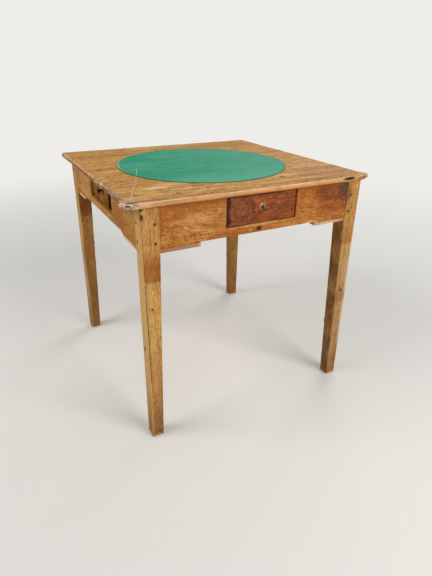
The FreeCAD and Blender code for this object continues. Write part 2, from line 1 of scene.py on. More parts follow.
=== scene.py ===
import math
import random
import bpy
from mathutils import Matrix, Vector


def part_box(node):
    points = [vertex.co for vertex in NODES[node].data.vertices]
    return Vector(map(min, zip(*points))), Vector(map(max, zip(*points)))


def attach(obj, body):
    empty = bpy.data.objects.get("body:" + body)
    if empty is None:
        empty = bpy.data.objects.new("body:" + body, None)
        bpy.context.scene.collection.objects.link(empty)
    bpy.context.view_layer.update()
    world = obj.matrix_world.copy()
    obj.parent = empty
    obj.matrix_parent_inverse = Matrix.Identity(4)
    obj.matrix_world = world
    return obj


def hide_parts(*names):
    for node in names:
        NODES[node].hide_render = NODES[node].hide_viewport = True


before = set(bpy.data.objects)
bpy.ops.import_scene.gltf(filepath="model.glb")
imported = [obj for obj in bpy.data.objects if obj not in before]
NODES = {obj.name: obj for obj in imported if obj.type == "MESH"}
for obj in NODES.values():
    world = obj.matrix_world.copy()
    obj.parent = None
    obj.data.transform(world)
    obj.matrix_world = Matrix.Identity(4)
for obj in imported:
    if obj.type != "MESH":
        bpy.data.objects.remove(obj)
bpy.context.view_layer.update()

# The looks of an old pine games table: worn boards, glued green cloth, brass knobs, floor, light and camera.
# Metres, apart from knots, stains and scratches, whose places and sizes are in millimetres.
# The origin is on the floor under the middle of the top, and the front faces -Y.

from types import SimpleNamespace as Facts

import bpy
from mathutils import Matrix, Vector, noise

# Sizes that the frame doesn't give by itself
MM = 0.001
LEG_HEAD = 0.048
LEG_FOOT = 0.036
TAPER_START = 0.593
TOP_NOSE = 0.0055
TOP_LOWER_EDGE = 0.0025
SEAM_EDGE = 0.0007
PEG_RADIUS = 0.0041
PEG_PROUD = 0.0006
NAIL_RADIUS = 0.0016
NAIL_HEAD_RADIUS = 0.0026
KNOB_STEPS = 56
PEG_STEPS = 20
NAIL_STEPS = 18

cloth_low, cloth_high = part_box("playing_cloth")
CLOTH_RADIUS = (cloth_high.x - cloth_low.x) / 2
top_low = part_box("top_board_1")[0]
top_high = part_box("top_board_4")[1]
TOP = top_high.z
UNDER_TOP = top_low.z

# The four sides: the way each one faces
SIDES = {"front": Vector((0, -1, 0)), "right": Vector((1, 0, 0)), "back": Vector((0, 1, 0)),
         "left": Vector((-1, 0, 0))}


def tone(red, green, blue):
    """A colour written in the usual 0 to 255 steps, as the shader's linear values."""
    steps = [step / 255 for step in (red, green, blue)]
    linear = [s / 12.92 if s <= 0.04045 else ((s + 0.055) / 1.055) ** 2.4 for s in steps]
    return (*linear, 1)


# Shading


class Signal:
    """An output of a material's node, which adds, subtracts, multiplies and divides as a number does."""

    def __init__(self, shade, socket):
        self.shade, self.socket = shade, socket

    def __add__(self, other):
        return self.shade.math("ADD", self, other)

    def __sub__(self, other):
        return self.shade.math("SUBTRACT", self, other)

    def __rsub__(self, other):
        return self.shade.math("SUBTRACT", other, self)

    def __mul__(self, other):
        return self.shade.math("MULTIPLY", self, other)

    def __truediv__(self, other):
        return self.shade.math("DIVIDE", self, other)

    __radd__ = __add__

    def length(self):
        return self.shade.math("LENGTH", self)

    def within(self, low, high):
        return self.shade.math("MINIMUM", self.shade.math("MAXIMUM", self, low), high)

    def ramp(self, low, high, out_low=0, out_high=1):
        """A smooth step from out_low at low to out_high at high."""
        feeds = {"Value": self, "From Min": low, "From Max": high, "To Min": out_low, "To Max": out_high}
        return self.shade.read("Result", "ShaderNodeMapRange", feeds, interpolation_type="SMOOTHSTEP")


def is_vector(value):
    if isinstance(value, Signal):
        return value.socket.type != "VALUE"
    return isinstance(value, (tuple, list, Vector))


class Shading:
    """The nodes of one material, or of the world, with short calls for those that the finishes share."""

    def __init__(self, owner):
        owner.use_nodes = True
        self.owner, self.nodes, self.links = owner, owner.node_tree.nodes, owner.node_tree.links
        self.nodes.clear()
        self.place = self.read("Object", "ShaderNodeTexCoord")

    def add(self, kind, feeds=None, **settings):
        node = self.nodes.new(kind)
        for name, value in settings.items():
            setattr(node, name, value)
        for name, value in (feeds or {}).items():
            self.feed(node.inputs[name], value)
        return node

    def read(self, output, kind, feeds=None, **settings):
        """An output of a new node, by its name or number."""
        return Signal(self, self.add(kind, feeds, **settings).outputs[output])

    def feed(self, socket, value):
        if isinstance(value, Signal):
            self.links.new(value.socket, socket)
        else:
            socket.default_value = value

    def math(self, operation, *values):
        """A sum on numbers or, where one of the values is a place or a colour, on vectors."""
        on_vectors = any(is_vector(value) for value in values)
        node = self.add("ShaderNodeVectorMath" if on_vectors else "ShaderNodeMath", operation=operation)
        for socket, value in zip(node.inputs, values):
            self.feed(socket, value)
        gives_vector = on_vectors and operation not in ("LENGTH", "DOT_PRODUCT")
        return Signal(self, node.outputs["Vector" if gives_vector else "Value"])

    def split(self, vector):
        return [Signal(self, part) for part in self.add("ShaderNodeSeparateXYZ", {"Vector": vector}).outputs]

    def join(self, x, y, z):
        return self.read(0, "ShaderNodeCombineXYZ", {"X": x, "Y": y, "Z": z})

    def noise(self, place, scale, detail=2, roughness=0.5, output="Fac"):
        """Smooth noise about 0.5, with one number of waves to the metre, or one along each axis."""
        scale = scale if isinstance(scale, tuple) else (scale,) * 3
        feeds = {"Vector": place * scale, "Scale": 1, "Detail": detail, "Roughness": roughness}
        return self.read(output, "ShaderNodeTexNoise", feeds)

    def mix(self, share, first, second, blend="MIX"):
        node = self.add("ShaderNodeMix", data_type="RGBA", blend_type=blend)
        colours = [socket for socket in node.inputs if socket.type == "RGBA"]
        for socket, value in zip((node.inputs["Factor"], *colours), (share, first, second)):
            self.feed(socket, value)
        return Signal(self, next(socket for socket in node.outputs if socket.type == "RGBA"))

    def coats(self, colour, *coats):
        """A colour with others over it, each with the share that it covers."""
        for share, over in coats:
            colour = self.mix(share, colour, over)
        return colour

    def attribute(self, name):
        return self.read("Fac", "ShaderNodeAttribute", attribute_name=name)

    def finish(self, colour, roughness, height, bump=0.3, depth=0.0008, **settings):
        normal = self.read(0, "ShaderNodeBump", {"Height": height, "Strength": bump, "Distance": depth})
        feeds = {"Base Color": colour, "Roughness": roughness, "Normal": normal}
        feeds.update({name.replace("_", " "): value for name, value in settings.items()})
        surface = self.read(0, "ShaderNodeBsdfPrincipled", feeds)
        self.output = self.add("ShaderNodeOutputMaterial", {"Surface": surface})
        return self.owner


def new_finish(name):
    return Shading(bpy.data.materials.new(name))


# A mark is solid inside this share of its reach, and a patchy one covers where its noise is below its middle
SOLID_SHARE = 0.55
PATCH_EDGES = (0.54, 0.46)


def near(shade, mark):
    """1 inside a mark and 0 outside it, with a ragged border, and with gaps all over a patchy one."""
    wobble = shade.noise(shade.place, mark.grit, 3)
    distance = ((shade.place - mark.spot) / mark.reach).length() + wobble * mark.ragged
    share = distance.ramp(1 + mark.ragged / 2, SOLID_SHARE + mark.ragged / 2)
    return share * wobble.ramp(*PATCH_EDGES) if mark.patchy else share


def beside(shade, line):
    """1 on a thin line between two points and 0 beside it."""
    along = line.end - line.start
    from_start = shade.place - line.start
    share = (shade.math("DOT_PRODUCT", from_start, along) / along.length_squared).within(0.0, 1.0)
    wobble = shade.noise(shade.place, 90, 3) * (line.width * 1.4)
    return ((from_start - share * along).length() + wobble).ramp(line.width * 1.9, line.width * 0.9)


def stain(spot, reach, colour, strength=1.0, ragged=0.5, grit=60, under=False, patchy=False):
    """A mark of its own colour: its middle, its half sizes, how ragged it is and how fine its border."""
    return Facts(spot=Vector(spot) * MM, reach=Vector(reach) * MM, colour=tone(*colour), strength=strength,
                 ragged=ragged, grit=grit, under=under, patchy=patchy)


def tint(spot, reach, colour, strength=1.0, ragged=0.8, grit=40):
    """A broad change of the wood's own colour, under its grain."""
    return stain(spot, reach, colour, strength, ragged, grit, under=True)


def scratch(start, end, colour, width=1.2, strength=1.0):
    return Facts(start=Vector(start) * MM, end=Vector(end) * MM, colour=tone(*colour), width=width * MM,
                 strength=strength)


def stained(shade, colour, stains, under):
    """A colour with those stains over it that lie under the grain, or else those that lie on it."""
    return shade.coats(colour, *((near(shade, mark) * mark.strength, mark.colour)
                                 for mark in stains if mark.under == under))


def pine(light, dark, deep, worn, gloss, figure, fleck, speck):
    """The tones of a wood: early wood, late wood, old varnish in patches and bare worn wood.

    figure is how strong the year rings show, fleck how strong the finer streaks do, and speck how
    strong the short specks do.
    """
    return Facts(light=tone(*light), dark=tone(*dark), deep=tone(*deep), worn=tone(*worn), gloss=gloss,
                 figure=figure, fleck=fleck, speck=speck)


BACK_TOP = pine((205, 156, 80), (140, 90, 36), (171, 114, 52), (248, 214, 164), 0.6, 0.6, 1.45, 1.0)
FRONT_TOP = pine((205, 156, 80), (140, 90, 36), (171, 114, 52), (254, 226, 194), 0.6, 0.6, 1.45, 1.0)
APRON = pine((206, 136, 64), (120, 60, 18), (154, 84, 32), (234, 184, 112), 0.55, 0.66, 0.9, 0.9)
SIDE_APRON = pine((184, 130, 50), (116, 70, 20), (152, 94, 32), (222, 176, 106), 0.55, 0.5, 0.8, 1.0)
LEG = pine((202, 148, 80), (134, 84, 38), (170, 114, 56), (232, 198, 144), 0.58, 0.5, 0.9, 1.1)
RED_BROWN = pine((174, 94, 50), (84, 38, 18), (112, 54, 28), (204, 136, 84), 0.52, 0.6, 1.1, 1.05)
TAN_BROWN = pine((158, 110, 54), (86, 52, 22), (114, 74, 34), (188, 142, 84), 0.55, 0.5, 0.9, 1.1)
RAW = pine((204, 168, 112), (156, 116, 68), (150, 114, 72), (216, 188, 142), 0.7, 0.6, 0.7, 0.5)

# What the woods share: dark pores, cut ends, painted shade in the gaps round a drawer front, grime together
# with painted shade on edges and in hollows, knots, and two shades down a leg
PORES = tone(84, 48, 22)
CUT_ENDS = tone(128, 90, 64)
RIM_GAP_SHADE, GRIME_AND_SHADE_TONE = tone(48, 24, 14), tone(62, 36, 20)
KNOT_DARK, KNOT_LIGHT = tone(66, 32, 14), tone(112, 60, 28)
ZONE_SHADE, ZONE_FADE = tone(208, 158, 112), 0.06
LOW_SHADE, LOW_SHADE_TOP = tone(208, 202, 206), 0.40

# How far the dark of a cut end reaches, at most and at full strength, and how wide the other borders are
CUT_REACH = (0.0042, 0.0012)
RIM_WIDTH = 0.0036
ZONE_BORDER = 0.003

# Which part of a place runs along the grain, across it and through the board
GRAINS = {"X": (0, 1, 2), "Y": (1, 0, 2), "Z": (2, 0, 1)}

# The layers of the figure: waves to the metre along and across the grain, detail and roughness. Then how much
# each of them darkens the wood, measured from the value that leaves it as it is.
LAYERS = {"fibre": (40, 1100, 3, 0.6), "fleck": (62, 380, 3, 0.7), "line": (9, 190, 3, 0.7),
          "band": (1.7, 44, 4, 0.65), "cloud": (6, 13, 5, 0.62), "speck": (70, 240, 3, 0.6),
          "dash": (50, 300, 2, 0.5)}
LAYER_WEIGHTS = {"band": 1.3, "line": 1.5, "fleck": 1.3, "fibre": 0.5, "dirt_and_shade": 0.8}
LAYER_MIDDLE = 0.46


def wood(name, finish, grain, pith, slope=0.02, lean=(0, 0), spacing=0.0026, wild=0.010, knots=(), stains=(),
         scratches=(), ends=None, rim=None, zone=None, worn=False, shine=0.1):
    """Pine with year rings about a pith beside the board, fibres, flecks, knots, stains, worn spots and
    painted light.

    pith is the place of the tree's middle across and through the board. slope is how fast the
    rings run out along it, lean slants them, and wild is how far they wander. ends gives the two
    ends of the board, where the cut grain is darker, rim the box whose edges get painted shade from
    the gaps round it, and zone the darker band below a leg's head. worn woods have attributes for
    how worn and how dark each point is, holding painted highlights and painted shade beside the real marks.
    """
    shade = new_finish(name)
    parts = shade.split(shade.place)
    axis = GRAINS[grain][0]
    along, across, through = [parts[index] for index in GRAINS[grain]]
    log = shade.join(along, across, through) + shade.join(0.0, along * lean[0], along * lean[1])
    wander = (shade.noise(log, (2.2, 14, 14), 3, output="Color") - (0.5, 0.5, 0.5)) * (0, 4 * wild, 4 * wild)
    radius = (log * (0, 1, 1) - (0, *pith) + wander).length() + along * slope
    squeeze = [0.75 if index == axis else 1.0 for index in range(3)]
    knot_share, knot_rings = 0.0, 0.0
    for spot, size, *strength in knots:
        away = ((shade.place - Vector(spot) * MM) * squeeze).length() / (size * MM)
        radius += shade.math("POWER", math.e, away * away * -0.2) * (size * MM * 1.6)
        knot_share = shade.math("MAXIMUM", knot_share, away.ramp(1.15, 0.75, 0, *strength or [0.85]))
        knot_rings += shade.math("SINE", away * 9.0)
    rings = radius / spacing
    share = shade.math("FRACT", rings)
    year = shade.read("Value", "ShaderNodeTexWhiteNoise", {"W": shade.math("FLOOR", rings)},
                      noise_dimensions="1D")
    late = share.ramp(0.2, 0.9) * share.ramp(1.0, 0.92) * year.ramp(0, 1, 0.35, 1.0)
    layers = {layer: shade.noise(log, (waves, fine, fine), detail, roughness)
              for layer, (waves, fine, detail, roughness) in LAYERS.items()}
    dirt_and_shade = layers["dirt_and_shade"] = shade.noise(shade.place, 52, 4, 0.75)
    fleck, line, speck = layers["fleck"], layers["line"], layers["speck"]
    dashes = layers["dash"].ramp(0.60, 0.70)

    darkness = late * dirt_and_shade.ramp(0.35, 0.6, 0.4, 1.0) * finish.figure
    for layer, weight in LAYER_WEIGHTS.items():
        darkness += (layers[layer] - LAYER_MIDDLE) * (weight * finish.fleck)
    colour = shade.coats(stained(shade, finish.light, stains, under=True),
                         (darkness.within(0.0, 1.0), finish.dark),
                         (layers["cloud"].ramp(0.44, 0.62, 0, 0.6), finish.deep),
                         (fleck.ramp(0.36, 0.28, 0, 0.55), finish.worn),
                         (speck.ramp(0.44, 0.24, 0, 0.5 * finish.speck), finish.worn),
                         (speck.ramp(0.56, 0.68, 0, 0.5 * finish.speck), finish.dark),
                         (dashes * (0.55 * finish.fleck), PORES))
    if zone is not None:
        edge = parts[2] + (line - 0.5) * 0.02
        inside = edge.ramp(zone.height - ZONE_BORDER, zone.height + ZONE_BORDER)
        inside *= edge.ramp(zone.top, zone.top - ZONE_FADE)
        if zone.beside is not None:
            inside *= parts[0].ramp(zone.beside, zone.beside + ZONE_BORDER)
        colour = shade.mix(inside * zone.strength, colour, ZONE_SHADE, "MULTIPLY")
        colour = shade.mix(edge.ramp(LOW_SHADE_TOP, 0.0, 0, 0.8), colour, LOW_SHADE, "MULTIPLY")
    if ends is not None:
        cut = (along.ramp(*(ends[0] + reach for reach in CUT_REACH))
               + along.ramp(*(ends[1] - reach for reach in CUT_REACH)))
        colour = shade.mix(cut * dirt_and_shade.ramp(0.3, 0.6, 0.5, 0.95), colour, CUT_ENDS)
    colour = stained(shade, colour, stains, under=False)
    if knots:
        colour = shade.mix(knot_share, colour, shade.mix(knot_rings.ramp(-1, 1), KNOT_DARK, KNOT_LIGHT))
    height = layers["fibre"] * 0.6 - late * 0.3 + (dirt_and_shade + fleck) * 0.9 - dashes * 0.8
    for mark in scratches:
        share = beside(shade, mark) * mark.strength
        colour = shade.mix(share, colour, mark.colour)
        height -= share
    # Painted shade: the face is darkened along the rim's edges, as if from the gaps round a drawer front,
    # broken up by noise
    if rim is not None:
        low, high = rim
        nearest, *others = [gap for side in (axis, 2)
                            for gap in (parts[side] - low[side], high[side] - parts[side])]
        for gap in others:
            nearest = shade.math("MINIMUM", nearest, gap)
        gap_shade = nearest.ramp(RIM_WIDTH, 0.0) - dirt_and_shade.ramp(0.3, 0.7, 0, 0.6)
        colour = shade.mix(shade.math("MAXIMUM", gap_shade, 0.0), colour, RIM_GAP_SHADE)
    if worn:
        # The worn share also holds painted highlights along the top's front edge, and the darkening share
        # holds painted shade beside real grime
        rub_and_highlight = shade.attribute("wear_and_highlight") * shade.noise(log, (26, 170, 170), 3).ramp(0.3, 0.6, 0.45, 1.0)
        colour = shade.coats(colour, (rub_and_highlight * 0.75, finish.worn), (shade.attribute("grime_and_shade"), GRIME_AND_SHADE_TONE))
    roughness = layers["band"].ramp(0.25, 0.75, finish.gloss - 0.06, finish.gloss + 0.14)
    return shade.finish(colour, roughness, height, bump=0.4, depth=0.0006, Specular_IOR_Level=shine)


def baize():
    """Old green cloth: short matted fibres, lighter towards the right and the front (part fading, part
    painted light), worn in places.
    """
    shade = new_finish("green_baize")
    x, y, _ = shade.split(shade.place)
    nap = shade.noise(shade.place, (420, 520, 420), 3, 0.7)
    threads = shade.noise(shade.place, (60, 900, 60))
    mottle = shade.noise(shade.place, (9, 16, 9), 4, 0.65)
    from_middle = (shade.place * (1, 1, 0)).length()
    frayed = (from_middle.ramp(*(CLOTH_RADIUS - inside for inside in FRAYED_RIM)) * x.ramp(-0.05, -0.22)
              * y.ramp(-0.05, 0.06) * threads.ramp(0.3, 0.6, 0.15, 0.6))
    # Lighter towards the right and towards the front: partly real fading, partly painted light
    colour = shade.coats(tone(10, 150, 112), (x.ramp(-0.25, 0.27), tone(76, 165, 132)),
                         (y.ramp(-0.12, -0.27, 0, 0.6), tone(98, 188, 160)),
                         (mottle.ramp(0.38, 0.72, 0, 0.5), tone(104, 176, 150)),
                         (nap.ramp(0.35, 0.7, 0.5, 0), tone(38, 108, 82)),
                         (threads.ramp(0.62, 0.8, 0, 0.35), tone(128, 192, 168)),
                         (frayed, tone(196, 200, 160)),
                         *((beside(shade, line) * line.strength, line.colour) for line in CLOTH_LINES),
                         # Grime with painted shade: the rim, cut edge and underside darkened
                         (shade.attribute("grime_and_shade") * 0.8, tone(22, 62, 46)))
    return shade.finish(colour, 0.95, nap + threads * 0.4, bump=0.5, depth=0.0006, Specular_IOR_Level=0.08,
                        Sheen_Weight=0.04, Sheen_Roughness=0.6)


def metal(name, bright, tarnish, deep, roughness, metallic):
    """Old metal with dark tarnish in patches and in its hollows."""
    shade = new_finish(name)
    patches = shade.noise(shade.place, 260, 4, 0.65)
    grains = shade.noise(shade.place, 1600)
    colour = shade.coats(bright, (patches.ramp(0.38, 0.66), tarnish), (shade.attribute("grime_and_shade") * 0.9, deep))
    rough = patches.ramp(0.3, 0.7, roughness - 0.08, roughness + 0.2)
    return shade.finish(colour, rough, patches + grains * 0.5, bump=0.25, depth=0.0003, Metallic=metallic)


def end_grain(name, light, dark):
    """Small round end of a peg: close rings and darkened pores."""
    shade = new_finish(name)
    pores = shade.noise(shade.place, 1500, 3)
    patches = shade.noise(shade.place, 160, 3)
    colour = shade.coats(dark, (pores.ramp(0.35, 0.65), light), (patches.ramp(0.4, 0.7, 0, 0.6), dark),
                         (shade.attribute("grime_and_shade"), tone(40, 22, 10)))
    return shade.finish(colour, 0.6, pores, bump=0.4, depth=0.0004, Specular_IOR_Level=0.12)


# Meshes

# Cells longer than this are divided where a finer mesh is asked for
COARSE_CELL = 0.002

# How much an edge's rounding swings, with how many waves to the metre, and how far round it is rubbed bare
ROUNDING_SWING = 0.4
ROUNDING_WAVES = (21, 21, 21)
RUBBED_ROUND = 0.35


def mesh_object(name, points, faces, attributes, material, body):
    """A smooth piece in a colour slot that rides on a body, with a value at each point per attribute."""
    mesh = bpy.data.meshes.new(name)
    mesh.from_pydata([tuple(point) for point in points], [], faces)
    mesh.validate()
    mesh.polygons.foreach_set("use_smooth", [True] * len(mesh.polygons))
    for label, values in attributes.items():
        mesh.attributes.new(label, "FLOAT", "POINT").data.foreach_set("value", values)
    mesh.materials.append(material)
    made = bpy.data.objects.new(name, mesh)
    bpy.context.scene.collection.objects.link(made)
    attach(made, body)
    return made


def ring_faces(rings, steps, first=0):
    """The faces between rings of points, which follow one another, each of a number of steps."""
    return [[first + ring * steps + step, first + ring * steps + (step + 1) % steps,
             first + (ring + 1) * steps + (step + 1) % steps, first + (ring + 1) * steps + step]
            for ring in range(rings - 1) for step in range(steps)]


def tube_faces(rings, steps, first=0):
    """The same with both ends closed."""
    last = first + (rings - 1) * steps
    return (ring_faces(rings, steps, first)
            + [[first + step for step in reversed(range(steps))], [last + step for step in range(steps)]])


def outward(step, steps):
    """The direction at a step of the way round the Z axis."""
    angle = 2 * math.pi * step / steps
    return Vector((math.cos(angle), math.sin(angle), 0))


def held(value):
    """A share kept between 0 and 1."""
    return max(0.0, min(1.0, value))


def hump(value, middle, half_width):
    """1 at the middle, falling smoothly to 0 at half_width from it."""
    share = max(0.0, 1 - abs(value - middle) / half_width)
    return share * share * (3 - 2 * share)


def stops(low, high, cell, fine, reach):
    """Places from low to high, close together near both ends."""
    edge = [fine * step for step in range(int(reach / fine + 0.5) + 1)]
    start, end = low + edge[-1], high - edge[-1]
    count = max(1, round((end - start) / cell))
    middle = [start + (end - start) * step / count for step in range(1, count)]
    return [low + step for step in edge] + middle + [high - step for step in reversed(edge)]


def closer(places, limit, times):
    """The same places, with those below a limit a number of times as close together."""
    result = []
    for start, end in zip(places, places[1:]):
        count = times if end < limit and end - start > COARSE_CELL else 1
        result += [start + (end - start) * step / count for step in range(count)]
    return result + [places[-1]]


def box_shell(places):
    """The surface of a box, divided at the given places along each axis."""
    last = [len(axis) - 1 for axis in places]
    index, points, faces = {}, [], []

    def corner(key):
        if key not in index:
            index[key] = len(points)
            points.append(Vector((places[0][key[0]], places[1][key[1]], places[2][key[2]])))
        return index[key]

    for axis in range(3):
        first, second = (axis + 1) % 3, (axis + 2) % 3
        for side in (0, last[axis]):
            for a in range(last[first]):
                for b in range(last[second]):
                    ring = [(a, b), (a + 1, b), (a + 1, b + 1), (a, b + 1)]
                    if side == 0:
                        ring.reverse()
                    keys = []
                    for a_step, b_step in ring:
                        key = [0, 0, 0]
                        key[axis], key[first], key[second] = side, a_step, b_step
                        keys.append(corner(tuple(key)))
                    faces.append(keys)
    return points, faces


def rough(point, scale, seed=0.0):
    """Smooth noise from -1 to 1 at a point, with its own number of waves along each axis."""
    return noise.noise(Vector((point.x * scale[0] + seed, point.y * scale[1], point.z * scale[2])))


def rounded(point, low, high, radii, ease):
    """A point of a box's surface moved onto its rounded edges, and how far round the edge it is.

    radii gives the rounding behind the lower and the upper face of each axis.
    """
    inner, turn = point.copy(), Vector((0, 0, 0))
    for axis in range(3):
        below, above = radii[axis][0] * ease, radii[axis][1] * ease
        if point[axis] < low[axis] + below:
            inner[axis] = low[axis] + below
            turn[axis] = (point[axis] - inner[axis]) / below
        elif point[axis] > high[axis] - above:
            inner[axis] = high[axis] - above
            turn[axis] = (point[axis] - inner[axis]) / above
    reach = max(turn.length, 1.0)
    return inner + (point - inner) / reach, min(1.0, (reach - 1) / RUBBED_ROUND)


def worn_block(name, node, places, radii, shape, material, extra=((), (), ())):
    """A wooden block in place of a CAD node: rounded edges that vary, then its own worn spots, soiling
    and painted light.

    extra gives points, faces and how worn each point is, which are added to it.
    """
    low, high = Vector([axis[0] for axis in places]), Vector([axis[-1] for axis in places])
    points, faces = box_shell(places)
    wear_and_highlight, grime_and_shade = [], []
    for index, point in enumerate(points):
        ease = 1 + ROUNDING_SWING * rough(point, ROUNDING_WAVES)
        moved, rub_and_highlight = rounded(point, low, high, radii, ease)
        points[index], rub_and_highlight, dirt_and_shade = shape(moved, rub_and_highlight)
        wear_and_highlight.append(held(rub_and_highlight))
        grime_and_shade.append(held(dirt_and_shade))
    extra_points, extra_faces, extra_wear = extra
    faces += [[len(points) + index for index in face] for face in extra_faces]
    points += extra_points
    wear_and_highlight += extra_wear
    grime_and_shade += [0.0] * len(extra_points)
    made = mesh_object(name, points, faces, {"wear_and_highlight": wear_and_highlight, "grime_and_shade": grime_and_shade}, material, "frame")
    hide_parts(node)
    return made


# The top: four boards with a worn nosing, a broken front left corner and chewed ends

# The open split in the front edge, near the right
SPLIT = Facts(middle=0.3095, half_length=0.033, z=0.7335, half_height=0.0056, depth=0.007)

# Chews in the left edge and dents in the front edge: the place along it, half the length and the depth
CHEWED = ((-0.090, 0.045, 0.006), (0.215, 0.03, 0.003), (-0.235, 0.06, 0.005), (-0.315, 0.04, 0.004))
FRONT_DENTS = ((-0.213, 0.012, 0.002), (0.043, 0.02, 0.0016), (0.185, 0.009, 0.0022), (-0.094, 0.008, 0.0018),
               (0.366, 0.014, 0.003))

# The break across the front left corner, as a line in plan, and the splinter that sticks out beside it
BREAK_START = Vector((-0.399, -0.350))
BREAK_END = Vector((-0.371, -0.3885))
BREAK_OUT = Vector((BREAK_END.y - BREAK_START.y, BREAK_START.x - BREAK_END.x)).normalized()
BREAK_SLOPE = 0.017
BREAK_DROP = 0.0095
SPLINTER_OUT = Facts(y=-0.350, half=0.026, reach=0.010)

# The splinters of torn wood: each a few rings of four points, given by their place along it and their width
SLIVERS = 140
SLIVER_RINGS = ((-0.25, 1.0), (0.35, 0.8), (0.75, 0.45), (1.0, 0.08))
SLIVER_SIDES = 4
SLIVER_WEAR = (0.9, 3.4)

# The painted highlight on the upper front edge beside the break: where it starts and ends from the left, its
# middle and half width, and how far it reaches into the board
NOSE_HIGHLIGHT = Facts(start=0.008, end=0.095, middle=0.046, half=0.042, depth=0.012)

# How far each kind of wear, and the painted shade and highlight along the edges, reaches into the boards from
# their edges
EDGE_REACH = 0.02
CHEWED_REACH = 0.04
DENT_REACH = 0.02
SPLIT_REACH = 0.012
SPLINTER_REACH = 0.03
BREAK_REACH = 0.06
FRAYED_REACH = 0.045
EDGE_SHADE_AND_HIGHLIGHT_REACH = 0.004

# How far the boards fall towards their long sides, and how deep their waves and those of the edges are
BOARD_CROWN = 0.00035
BOARD_WAVES = 0.00022
EDGE_WAVES = 0.0011

# The share of the thickness, from below, in which an edge isn't worn pale but darkened: painted shade
LOWER_SHARE = 0.38

# How far the front right tip has curled up and is worn away below, and how rounded the corners are
TIP_CURL, TIP_CURL_REACH = 0.004, 0.05
TIP_WORN, TIP_WORN_REACH = 0.0075, 0.026
FRONT_RIGHT_ROUNDING = 0.005
BACK_LEFT_ROUNDING = 0.007
BACK_RIGHT_ROUNDING = 0.009


def beyond_break(point):
    """How far a point lies beyond the line of the break."""
    return (point.xy - BREAK_START).dot(BREAK_OUT)


def slivers(seed=11):
    """Thin pointed splinters of torn wood, rooted in the break along the grain, and how pale each is."""
    chance = random.Random(seed)
    points, faces, pale = [], [], []
    for _ in range(SLIVERS):
        share = chance.uniform(-0.55, 1.0)
        root = BREAK_START.lerp(BREAK_END, share) - BREAK_OUT * chance.uniform(0.002, 0.013)
        root.x = max(root.x, top_low.x - 0.002)
        if share < 0:
            root = Vector((top_low.x + chance.uniform(0.002, 0.006), root.y))
        start = Vector((*root, UNDER_TOP + (TOP - UNDER_TOP) * chance.uniform(0.12, 0.78)))
        way = Vector((-1, chance.uniform(-0.75, 0.45), chance.uniform(-0.3, 0.3))).normalized()
        bend = Vector((0, chance.uniform(-0.2, 0.2), chance.uniform(-0.25, 0.15)))
        length = chance.uniform(0.006, 0.015)
        side = way.cross(Vector((0, 0, 1))).normalized() * chance.uniform(0.0007, 0.0019)
        rise = side.cross(way).normalized() * chance.uniform(0.0003, 0.0009)
        first = len(points)
        for reach, width in SLIVER_RINGS:
            middle = start + (way + bend * max(0.0, reach) ** 2) * length * reach
            points += [middle + out * width for out in (side, rise, -side, -rise)]
        faces += tube_faces(len(SLIVER_RINGS), SLIVER_SIDES, first)
        pale += [chance.uniform(*SLIVER_WEAR)] * (len(points) - first)
    return points, faces, pale


def blunt(point, corner, radius):
    """Rounds a corner of the plan by squeezing the square round it into a quarter circle."""
    inward = [1 if point[axis] > corner[axis] else -1 for axis in (0, 1)]
    shares = [1 - abs(point[axis] - corner[axis]) / radius for axis in (0, 1)]
    if min(shares) <= 0:
        return point
    a, b = shares
    squeezed = (a * math.sqrt(1 - b * b / 2), b * math.sqrt(1 - a * a / 2))
    moved = point.copy()
    for axis in (0, 1):
        moved[axis] = corner[axis] + inward[axis] * radius * (1 - squeezed[axis])
    return moved


